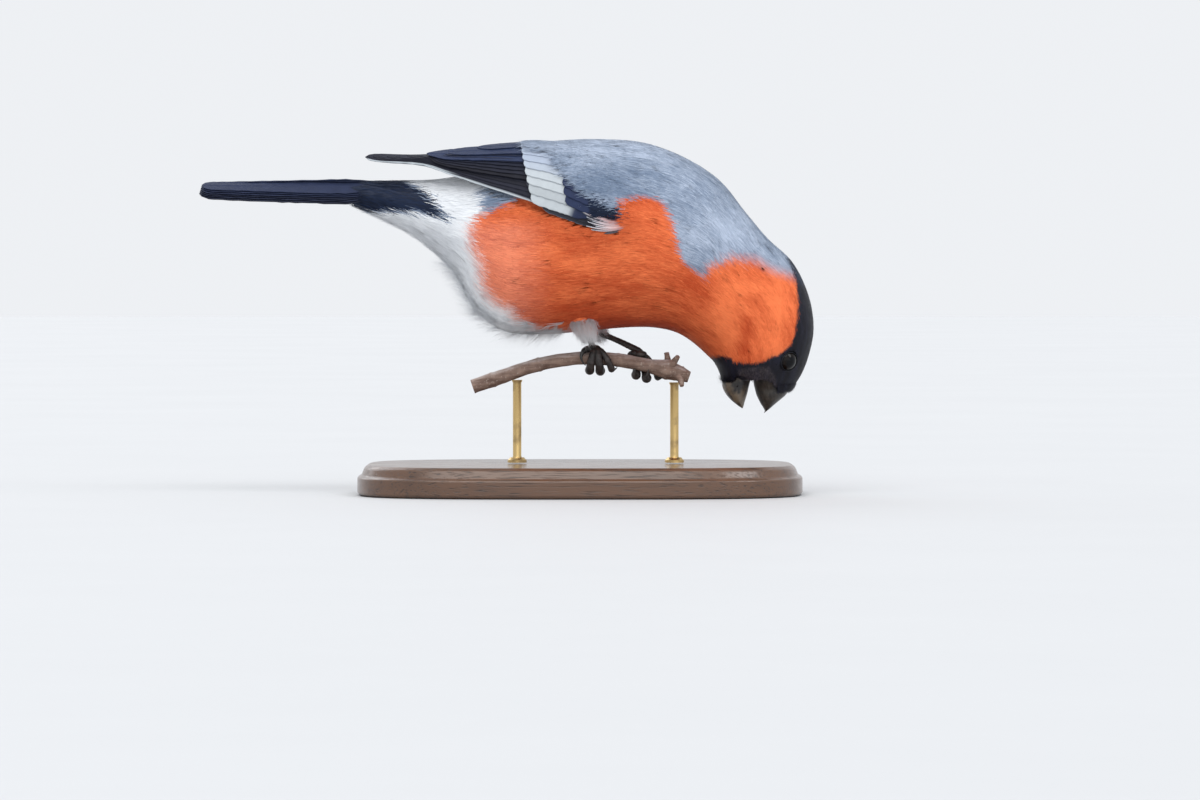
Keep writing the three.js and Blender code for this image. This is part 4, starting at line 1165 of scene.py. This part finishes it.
def add_vanes(name, feathers, finish, replaced=()):
    """Joins feathers into one piece. Each gets its thickness from one modifier."""
    names = sorted({key for _, own in feathers for key in own})
    places, triangles, values = [], [], {key: [] for key in names}
    start = 0
    for sheet, own in feathers:
        rows, columns = sheet.shape[:2]
        corner = start + np.arange(rows * columns).reshape(rows, columns)
        a, b, c, d = corner[:-1, :-1], corner[:-1, 1:], corner[1:, :-1], corner[1:, 1:]
        first, second = np.stack([a, b, d], -1), np.stack([a, d, c], -1)
        faces = np.concatenate([first.reshape(-1, 3), second.reshape(-1, 3)])
        e1 = sheet[0, 1] - sheet[0, 0]
        e2 = sheet[1, 0] - sheet[0, 0]
        outward = own["outward"]
        if np.dot(np.cross(e1, e2 + e1), outward) < 0:
            faces = faces[:, ::-1]
        triangles.append(faces)
        places.append(sheet.reshape(-1, 3))
        for key in names:
            if key != "outward":
                grid = own.get(key, np.zeros((rows, columns)))
                values[key].append(np.asarray(grid).ravel())
        start += rows * columns
    values.pop("outward")
    numbers = {key: np.concatenate(parts) for key, parts in values.items()}
    mesh = joined_mesh(name, np.concatenate(places), np.concatenate(triangles), numbers)
    made = fit_piece(add_object(name, mesh), finish, replaced)
    thickness = made.modifiers.new("thickness", "SOLIDIFY")
    thickness.thickness = VANE_THICK * MM
    thickness.offset = -1
    return made


def feather_finish(name):
    """Flight feathers: fine slanting barbs, a glossy shaft, and blue, brown or pale webs."""
    material, start, place = new_finish(name)
    slant = start.attribute("run") - start.math("ABSOLUTE", start.attribute("aside")) * 0.9
    barbs = start.math("SINE", slant * 17.0) * 0.5 + 0.5
    cloudy = start.noise(place, 500.0, 3.0)
    tone = start.attribute("tone")
    shine = (tone * 0.35 + cloudy * 0.5 + barbs * 0.2).ease(0.2, 0.9)
    dark = start.blend(start.attribute("blue"), FEATHER_BROWN, FEATHER_BLUE)
    dark = start.dim(dark, 0.65 + 0.75 * shine)
    pale = start.blend(start.attribute("white"), FEATHER_PALE, FEATHER_WHITE)
    pale = start.dim(pale, 0.82 + 0.2 * shine)
    colour = start.blend(start.attribute("pale"), dark, pale)
    show(start, colour, 0.5 + 0.15 * barbs + 0.15 * start.attribute("pale"),
         barbs * 0.5 + cloudy * 0.2, 0.00005, specular_ior_level=0.18)
    return material


def outward_of(surface, u, v):
    return (surface(u, v, 1.0) - surface(u, v, 0.0))[0]


flight_finish = feather_finish("flight_feathers")
feathers = []
for pair in range(TAIL_PAIRS):
    for side in (1, -1):
        share = pair / (TAIL_PAIRS - 1)
        sheet, own = vane(
            tail_face, (0.02, side * (0.26 + 0.22 * share)),
            (0.985 + 0.012 * share, side * (0.37 + 0.2 * share)), 7.0,
            -TAIL_LAYER * pair - (0.2 if side > 0 else 0.0), shaft=-0.25 * side * share,
            blunt=0.07, root_wide=0.55, blue=0.75 - 0.3 * share, rows=30, pale=0.0,
        )
        own["outward"] = outward_of(tail_face, 0.5, side * 0.5)
        feathers.append((sheet, own))
add_vanes("tail_feathers", feathers, flight_finish, ["tail"])

# Wings: flight feathers folded in tiers along the flanks. From the lowest layer up they are the
# primaries, secondaries, tertials, then primary, greater and median coverts. The greater
# coverts have broad pale tips, which make the bar across the wing.
WING_TIERS = {  # count, width, lift, tilt, shaft's place, tip's roundness, then roots and tips
    "primaries": (9, 4.6, 0.05, 0.16, -0.4, 0.16, (0.18, 0.085), (0.36, 0.50),
                  (1.0, 0.42), (0.80, 0.78)),
    "secondaries": (7, 5.4, 0.45, 0.20, -0.25, 0.2, (0.30, 0.36), (0.30, 0.68),
                    (0.74, 0.50), (0.68, 0.84)),
    "tertials": (3, 6.4, 0.8, 0.09, 0.0, 0.34, (0.26, 0.62), (0.26, 0.90), (0.76, 0.72),
                 (0.54, 0.93)),
    "primary_coverts": (7, 3.4, 0.8, 0.16, -0.2, 0.2, (0.14, 0.07), (0.15, 0.25), (0.33, 0.08),
                        (0.375, 0.26)),
    "greater_coverts": (9, 5.8, 1.4, 0.05, 0.0, 0.13, (0.15, 0.16), (0.15, 0.97),
                        (0.360, 0.15), (0.40, 0.94)),
    "median_coverts": (8, 5.4, 1.6, 0.08, 0.0, 0.16, (0.09, 0.25), (0.09, 0.97),
                       (0.245, 0.25), (0.262, 0.93)),
}
BEND_FEATHERS = 21


def wing_tints(tier, share):
    """What the finish reads on a feather that stands at a share of the way up its tier."""
    if tier == "primaries":
        start = 0.08 if share < 0.1 else 0.48
        edged = lambda along, web: (web < -0.8) * (share < 0.2) * smooth(along, start, start + 0.12)
        return {"blue": 0.2, "pale": edged, "white": 0.9}
    if tier == "greater_coverts":
        return {"blue": 0.8, "pale": lambda along, web: smooth(along, 0.30, 0.42),
                "white": 0.15 + 0.85 * smooth(0.62 - share, 0.0, 0.3)}
    if tier == "primary_coverts":
        edged = lambda along, web: 0.1 * along + 0.5 * (web < -0.9) * (share < 0.1)
        return {"blue": 0.1, "pale": edged}
    return {"blue": 0.15 + 0.4 * share if tier == "secondaries" else 0.95, "pale": 0.0}


for side, sign in (("left", 1), ("right", -1)):
    face = wing_face(sign)
    feathers = []
    for tier, (count, wide, lift, tilt, shaft, blunt, *ends) in WING_TIERS.items():
        for k in range(count):
            share = k / (count - 1)
            first_root, last_root, first_tip, last_tip = np.array(ends)
            root = first_root + (last_root - first_root) * share
            tip = first_tip + (last_tip - first_tip) * share
            if tier == "primaries":
                tip[0] += 0.20 * share * (1 - share)
            sheet, own = vane(face, root, tip, wide, lift + 0.04 * k / count, tilt, shaft, 28,
                              blunt, **wing_tints(tier, share))
            own["outward"] = outward_of(face, 0.3, 0.5)
            feathers.append((sheet, own))
    add_vanes(f"wing_{side}_vanes", feathers, flight_finish,
              [f"wing_{side}_feathers"])

# Bend of the wing: a small fan of narrow feathers, whitish and dark by turns, that come from
# under the orange shoulder and lie back over the folded wing's lower edge.
for side, sign in (("left", 1), ("right", -1)):
    face = wing_face(sign)
    fan = []
    for k in range(BEND_FEATHERS):
        share = k / (BEND_FEATHERS - 1)
        sheet, own = vane(
            face, (0.050 + 0.015 * share, 0.01 + 0.06 * share),
            (0.160 + 0.05 * share + 0.012 * rng.normal(), -0.03 + 0.23 * share),
            (1.0, 0.42)[k % 2], 1.75 - 0.3 * share + 0.2 * (k % 2), tilt=0.1, rows=16, blunt=0.8,
            root_wide=0.6, orange=lambda along, web: 0.75 * (1 - along), grey=0.35,
            black=lambda along, web: (0.85, 0.0)[k % 2] * smooth(along, 0.1, 0.5),
        )
        own["outward"] = outward_of(face, 0.3, 0.5)
        fan.append((sheet, own))
    add_vanes(f"wing_{side}_bend", fan, coat_finish)

# Thighs and belly fluff: loose downy feathers with long fine ends. They hide the knees and the
# tops of the legs, and hang from the rear of the belly in a thin white fringe.
THIGH_CROWD = 2.5
FLUFF_CROWD = 0.32
FLUFF_STATIONS = (2.8, 6.5)
FLUFF_ANGLES = (math.radians(153), math.radians(209))
FLUFF_HANG = 4.6


def grown_evenly(crowd):
    """The same number of tufts to the square millimetre everywhere."""
    return lambda u, v: crowd + 0 * u


def thigh_shares(tint):
    """White down, with more and more orange towards the top of the thigh."""

    def shares(seen, u, v):
        orange = tint * smooth(seen[:, 2], 4.5, 10.5) * rng.uniform(0.0, 0.9, len(u))
        return marked(len(u), orange=orange, grey=0.1 * rng.random(len(u)))

    return shares


for side, tint in (("right", 0.65), ("left", 0.55)):
    u, v = strewn(thigh(side), (-0.05, 1.15), (-math.pi, math.pi), grown_evenly(THIGH_CROWD), 40)
    form = {
        "heading": rng.normal(0, 0.42, len(u)), "length": 4.4 * rng.uniform(0.6, 1.35, len(u)),
        "spread": 0.9, "barb": 0.027, "depth": 0.9, "lift": rng.normal(0.0, 0.25, len(u)),
        "loose": 0.55, "droop": -0.3,
    }
    tufts(f"thigh_{side}_down", thigh(side), u, v, form, thigh_shares(tint),
          lambda u, v: (0.1 + 0.7 * u, 0.5 + v / 8), coat_finish)

u, v = strewn(body, FLUFF_STATIONS, FLUFF_ANGLES, grown_evenly(FLUFF_CROWD), 60)
form = {
    "heading": rng.normal(0, 0.35, len(u)), "length": rng.uniform(5.5, 9.0, len(u)),
    "spread": rng.uniform(0.5, 1.3, len(u)), "barb": 0.055, "depth": 1.0, "lift": 0.3,
    "loose": 0.5, "droop": -FLUFF_HANG * rng.uniform(0.1, 1.0, len(u)),
}
tufts("belly_fluff", body, u, v, form,
      lambda seen, u, v: marked(len(u), grey=0.1 * rng.random(len(u))),
      body_roots, coat_finish)

# Eyes: near-black glossy balls with a dark brown iris and a clear wet front, sunk in the head,
# each in a thin granular ring of lid that closes the gap to the feathers.
LID_PROFILE = [  # from the eye's axis, and height over the plumage's outer line
    (2.42, 0.05), (2.47, 0.19), (2.55, 0.24), (2.64, 0.14), (2.73, -0.14), (2.86, -0.7),
    (3.1, -1.3), (2.9, -1.7), (2.45, -0.8),
]
LID_AROUND = 120
IRIS_BROWN = (0.006, 0.003, 0.002, 1)
IRIS_DARK = (0.003, 0.002, 0.002, 1)
PUPIL_BLACK = (0.002, 0.002, 0.003, 1)
LID_GREY = (0.011, 0.012, 0.017, 1)
LID_DARK = (0.005, 0.005, 0.008, 1)


def turned_to(bm, verts, direction, place):
    """Turns new points from looking up to looking in a direction, and puts them in place."""
    turn = Vector((0, 0, 1)).rotation_difference(Vector(direction)).to_matrix().to_4x4()
    bmesh.ops.transform(bm, matrix=Matrix.Translation(in_frame(place)) @ turn, verts=verts)


for side, sign in (("right", -1), ("left", 1)):
    opening, out = eye_frame(sign)
    middle = opening + out * (EYE_STANDS - EYE_RADIUS)
    bm = bmesh.new()
    ball = bmesh.ops.create_uvsphere(bm, u_segments=64, v_segments=48, radius=EYE_RADIUS * MM)
    for vert in ball["verts"]:
        height = vert.co.z / (EYE_RADIUS * MM)
        vert.co.z += 0.12 * MM * max(0.0, (height - 0.72) / 0.28) ** 2
    turned_to(bm, ball["verts"], out, middle)
    gloss, start, place = new_finish(f"eye_{side}_gloss")
    away = start.node("VectorMath", {"operation": "SUBTRACT"},
                      {0: place, 1: tuple(in_frame(middle))})
    ahead = start.node("VectorMath", {"operation": "DOT_PRODUCT"}, {0: away, 1: tuple(out)}, 1)
    ahead = ahead * (1 / (EYE_RADIUS * MM))
    threads = start.noise(start.stretched(place, (900, 900, 900)), 2.0, 3.0)
    iris = start.blend(threads, IRIS_DARK, IRIS_BROWN)
    colour = start.blend(ahead.ease(0.86, 0.88), iris, PUPIL_BLACK)
    show(start, colour, 0.04 + 0.02 * threads, ior=1.26)
    add_piece(f"eyeball_{side}", bm, gloss, [f"eye_{side}"])

    bm = bmesh.new()
    profile = [bm.verts.new((r * MM, 0, h * MM)) for r, h in LID_PROFILE]
    edges = [bm.edges.new(pair) for pair in zip(profile, profile[1:] + profile[:1])]
    bmesh.ops.subdivide_edges(bm, edges=edges, cuts=2)
    bmesh.ops.spin(bm, geom=bm.verts[:] + bm.edges[:], cent=(0, 0, 0), axis=(0, 0, 1),
                   angle=2 * math.pi, steps=LID_AROUND, use_merge=True)
    for vert in bm.verts:
        away = math.hypot(vert.co.x, vert.co.y) / MM
        grain = noise.noise(vert.co / (0.26 * MM)) * 0.5 + math.sin(
            math.atan2(vert.co.y, vert.co.x) * 34 + away * 3
        )
        crest = math.exp(-(((away - LID_RING) / 0.14) ** 2)) * (vert.co.z > 0)
        vert.co.z += 0.035 * MM * grain * crest
    bmesh.ops.recalc_face_normals(bm, faces=bm.faces)
    turned_to(bm, bm.verts, out, opening)
    lid_skin, start, place = new_finish(f"lid_{side}_skin")
    grains = start.noise(place, 4200.0, 2.0)
    show(start, start.blend(grains, LID_DARK, LID_GREY), 0.42 + 0.2 * grains,
         grains, 0.00003, specular_ior_level=0.2)
    add_piece(f"eyelid_{side}", bm, lid_skin)

# Bill: short, swollen and blackish, held open, the upper half with a sharp tip over the deep
# scoop of the lower one. It is horn over bone, blackish grey above and browner in patches below.
UPPER_BILL = [  # distance from the bill's root, top, bottom and half width
    (-4.6, 5.4, -3.2, 6.2), (-3.2, 6.0, -3.1, 6.1), (-2.0, 6.4, -3.0, 5.7), (-1.0, 6.7, -2.8, 5.2),
    (0, 6.8, -2.5, 4.8), (1.3, 6.2, -2.1, 4.5), (2.6, 4.8, -1.5, 3.9), (3.85, 3.4, -0.8, 3.0),
    (5, 2.2, 0, 1.8), (5.8, 1.3, 0.4, 0.9), (6.3, 0.7, 0.3, 0.3),
]
LOWER_BILL = [
    (-4.2, 0.3, -4.2, 6.6), (-2.4, 0.2, -5.6, 6.3), (-1.2, 0.1, -6.4, 5.8), (0, 0, -7.0, 5.2),
    (1, 0, -7.4, 4.8), (2, 0, -7.6, 4.5), (3.5, 0, -7.3, 4.1), (5, -0.1, -6.2, 3.5),
    (6.4, -0.2, -4.4, 2.5), (7.5, -0.2, -2.2, 1.2), (8.0, -0.3, -0.9, 0.4),
]
GAPE_AHEAD = -2.4
GAPE_UP = -3.2
GAPE_OPEN = math.radians(11)
BILL_AROUND = 48
BILL_ROWS = 60
HORN_BLACK = (0.012, 0.010, 0.010, 1)
HORN_GREY = (0.075, 0.068, 0.060, 1)
HORN_BROWN = (0.170, 0.128, 0.086, 1)
root_middle, root_up, root_side = (part[0] for part in section(np.array([float(BILL_ROOT)]))[:3])
root_ahead = np.cross(root_side, root_up)
if root_ahead @ (root_middle - section(np.array([BILL_ROOT - 1.0]))[0][0]) < 0:
    root_ahead = -root_ahead


def in_head(ahead, up, side):
    """Places before the root of the bill: ahead, up and to the left of its middle."""
    parts = np.broadcast_arrays(ahead, up, side)
    ahead, up, side = (np.asarray(part, float)[..., None] for part in parts)
    return root_middle + root_ahead * ahead + root_up * up + root_side * side


def in_lower_bill(ahead, up, side):
    """The same for the lower half of the bill, which is turned open about the jaw."""
    cos, sin = math.cos(GAPE_OPEN), math.sin(GAPE_OPEN)
    return in_head(GAPE_AHEAD + ahead * cos + up * sin, GAPE_UP - ahead * sin + up * cos, side)


def bill_ring(profile, share, turn, round_top):
    """Places round a half of the bill: flat along its cutting edges and round on its back."""
    lines = through([(a, t, b) for a, t, b, _ in profile], share)
    wide = through([(w, 0, 0) for *_, w in profile], share)[:, 0]
    ahead, top, bottom = (lines[:, k][:, None] for k in range(3))
    rounded = (1 + (1 if round_top else -1) * np.sin(turn)) / 2
    bulge = rounded ** (0.8 if round_top else 0.7)
    edge, crest = (bottom, top) if round_top else (top, bottom)
    hollow = 0.30 * np.clip(1 - 2.2 * rounded, 0, 1) * np.sign(crest - edge)
    return ahead, edge + (crest - edge) * bulge + hollow, wide[:, None] * np.cos(turn)


def bill_half(name, profile, place, round_top, brown, replaced):
    share = 1 - (1 - np.linspace(0, 1, BILL_ROWS)) ** 1.15
    turn = np.linspace(0, 2 * math.pi, BILL_AROUND, endpoint=False)[None]
    ahead, up, aside = bill_ring(profile, share, turn, round_top)
    rings = place(ahead, up, aside)
    growth = wrinkled(rings * (1, 1, 0.4), 1.3, 12.0)[..., None] * 0.035
    rings = rings + growth * unit(rings - rings.mean(axis=1, keepdims=True))
    bm = bmesh.new()
    lay_tube(bm, rings)
    horn, start, spot = new_finish(name + "_horn")
    streaks = start.noise(start.stretched(spot, (1500, 1500, 320)), 1.0, 4.0, 0.6)
    clouds = start.noise(spot, 330.0, 3.0)
    flecks = start.noise(spot, 2600.0, 2.0)
    colour = start.blend((streaks * 0.6 + clouds * 0.6).ease(0.42, 0.85), HORN_BLACK, HORN_GREY)
    colour = start.blend(brown * clouds.ease(0.38, 0.62), colour, HORN_BROWN)
    colour = start.dim(colour, 0.36 + 0.45 * brown + 0.6 * flecks)
    show(start, colour, 0.30 + 0.22 * streaks, streaks * 0.6 + flecks * 0.4, 0.00005)
    return add_piece(name, bm, horn, [replaced], sharp=50)


bill_half("upper_bill", UPPER_BILL, in_head, True, 0.15, "bill_upper")
bill_half("lower_bill", LOWER_BILL, in_lower_bill, False, 0.8, "bill_lower")

# Bristles at the bill's root: short stiff black feathers that point ahead over the nostrils, and
# smaller ones under the chin.
NOSTRIL_STATION = 17.55
NOSTRIL_SWELL = 0.45
CHIN_STATION = 17.4
BRISTLE_CROWD = 18


def on_upper_bill(turn):
    rounded = ((1 + np.cos(turn)) / 2) ** 0.8
    return in_head(2.9, -1.4 + 6.2 * rounded, 3.9 * np.sin(turn))


def on_lower_bill(turn):
    rounded = ((1 - np.cos(turn)) / 2) ** 0.7
    return in_lower_bill(3.2, -7.6 * rounded, 4.4 * np.sin(turn))


def bristle_bed(on_bill, station, swell):
    """A surface from a half of the bill, at nothing along, to the plumage, at one."""

    def face(along, turn, lift=0.0):
        along = np.atleast_1d(np.asarray(along, float))
        turn = np.broadcast_to(np.asarray(turn, float), along.shape)
        lift = np.broadcast_to(np.asarray(lift, float), along.shape)[:, None]
        bill = on_bill(turn)
        place = bill + (body(np.full(along.shape, station), turn) - bill) * along[:, None]
        out = unit(in_head(0, np.cos(turn), np.sin(turn)) - root_middle)
        return place + out * (lift + swell * np.sin(math.pi * np.clip(along, 0, 1))[:, None])

    return face


for name, bed, span, long in (
    ("nostril_bristles", bristle_bed(on_upper_bill, NOSTRIL_STATION, NOSTRIL_SWELL),
     (-1.25, 1.25), 1.8),
    ("chin_bristles", bristle_bed(on_lower_bill, CHIN_STATION, 0.0), (2.45, 3.83), 1.3),
):
    u, v = strewn(bed, (0.66, 1.05), span, grown_evenly(BRISTLE_CROWD), 50)
    form = {
        "heading": rng.normal(0, 0.2, len(u)), "length": long * rng.uniform(0.5, 1.1, len(u)),
        "spread": 0.22, "barb": 0.032, "depth": 0.5, "lift": rng.uniform(0.0, 0.15, len(u)),
        "loose": 0.10, "droop": rng.uniform(-0.55, 0.3, len(u)),
    }
    tufts(name, bed, u, v, form, lambda seen, u, v: marked(len(u), black=np.ones(len(u))),
          lambda u, v: (0.95 + 0.04 * u, 0.5 + v / 10), coat_finish)

# Legs and feet: slender shanks and toes gripping the twig, nearly black, ringed with low
# overlapping plates and finely pebbled, with curved black claws.
LEGS = {  # which side, the shank's two ends, and the foot's place along the twig
    "right": (-1, (2.0, -5.4, 6.9), (3.3, -2.0, 3.7), 3.9),
    "left": (1, (5.0, 5.6, 7.4), (16.2, 1.8, 2.3), 16.4),
}
SHANK_RADIUS = 0.85
TOES = [  # slide along the twig, angles round it from its top, distance off its axis, thickness
    ((0.2, -1.3), (15, 198), (2.7, 3.3), (0.85, 1.3)),
    ((0.4, 1.6), (15, 212), (2.7, 3.5), (0.9, 1.35)),
    ((0.6, 4.7), (15, 172), (2.7, 2.9), (0.8, 0.95)),
]
HIND_TOE = [(0, 0.9, 2.5), (-2.0, 1.4, 2.5), (-3.3, 2.4, 1.7)]
HIND_CLAW = [(-3.3, 2.4, 1.7), (-3.6, 2.85, 0.4), (-3.2, 2.8, -0.9), (-2.4, 2.5, -1.9)]
CLAW_WRAP = 46
CLAW_THICK = (0.58, 0.30, 0.10)
SCALE_DARK = (0.010, 0.008, 0.008, 1)
SCALE_LIGHT = (0.058, 0.044, 0.039, 1)
CLAW_BLACK = (0.006, 0.005, 0.005, 1)
CLAW_WORN = (0.05, 0.045, 0.042, 1)


def round_twig(x, side, angle, off):
    turn = math.radians(angle)
    return (x, side * off * math.sin(turn), twig_height(x) + off * math.cos(turn))


def scaly_tube(bm, path, radii, plates, rows=72, around=28):
    """A toe or a shank, with plates that each stand out a little at their lower edge."""
    middle, out, radius = rings_along(path, radii, around, rows)
    share = np.linspace(0, 1, rows)[:, None, None]
    step = (share * plates) % 1.0
    raised = 0.07 * (step**2 - 0.35) - 0.05 * (step > 0.94)
    pebbles = wrinkled(middle + out * radius * 1.3, 0.33, 4.0)[..., None] * 0.035
    ends = np.sqrt(np.clip(1 - (2 * share - 1) ** 10, 0.05, 1))
    lay_tube(bm, middle + out * (radius * (1 + raised) + pebbles) * ends)


def claw_tube(bm, path):
    middle, out, radius = rings_along(path, CLAW_THICK, 20, 36)
    lay_tube(bm, middle + out * radius)


leg_finish, start, place = new_finish("scaly_leg_skin")
pebbled = start.noise(place, 3600.0, 2.0)
clouds = start.noise(place, 600.0, 3.0)
colour = start.blend((clouds * 0.7 + pebbled * 0.4).ease(0.4, 0.8), SCALE_DARK, SCALE_LIGHT)
show(start, colour, 0.42 + 0.25 * pebbled, pebbled * 0.6 + clouds * 0.4, 0.00006)
claw_finish, start, place = new_finish("black_claw_horn")
streaks = start.noise(place, 1500.0, 3.0)
show(start, start.blend(streaks, CLAW_BLACK, CLAW_WORN), 0.28 + 0.2 * streaks)

for name, (side, knee, ankle, foot_x) in LEGS.items():
    bm = bmesh.new()
    joint = np.asarray(ankle) + unit(np.subtract(ankle, knee)) * 0.9
    scaly_tube(bm, [knee, np.add(knee, ankle) / 2 + (0.1, 0, 0.12), joint],
               [SHANK_RADIUS * 1.05, SHANK_RADIUS * 0.88, SHANK_RADIUS, SHANK_RADIUS * 1.15],
               7 if name == "right" else 13, rows=96)
    add_piece(f"scaly_shank_{name}", bm, leg_finish, [f"shank_{name}"], sharp=70)

    placed = lambda spot: (
        foot_x + spot[0], side * spot[1], twig_height(foot_x + spot[0]) + spot[2]
    )
    bm = bmesh.new()
    palm = bmesh.ops.create_uvsphere(bm, u_segments=32, v_segments=20, radius=1.0)["verts"]
    for vert in palm:
        vert.co = in_frame(np.add(placed((0, 0.9, 2.75)), vert.co * Vector((1.7, 1.5, 0.95))))
    scaly_tube(bm, [placed(spot) for spot in HIND_TOE], [0.85, 0.95, 0.8, 0.72], 5, rows=48)
    claws = bmesh.new()
    claw_tube(claws, [placed(spot) for spot in HIND_CLAW])
    for slide, wrap, off, thick in TOES:
        share = np.linspace(0, 1, 9)
        path = [
            round_twig(foot_x + slide[0] + (slide[1] - slide[0]) * math.sin(s * math.pi / 2), side,
                       wrap[0] + (wrap[1] - wrap[0]) * s, off[0] + (off[1] - off[0]) * s)
            for s in share
        ]
        pads = (thick[0] + (thick[1] - thick[0]) * share) * (0.9 + 0.16 * abs(np.sin(share * 9.4)))
        scaly_tube(bm, path, pads, 9)
        claw_tube(claws, [
            round_twig(foot_x + slide[1] * (1 + 0.1 * k), side, wrap[1] - 6 + CLAW_WRAP * k / 3,
                       off[1] - 0.18 * k)
            for k in range(4)
        ])
    add_piece(f"scaly_foot_{name}", bm, leg_finish, [f"foot_{name}"], sharp=70)
    add_piece(f"claws_{name}", claws, claw_finish, sharp=70)
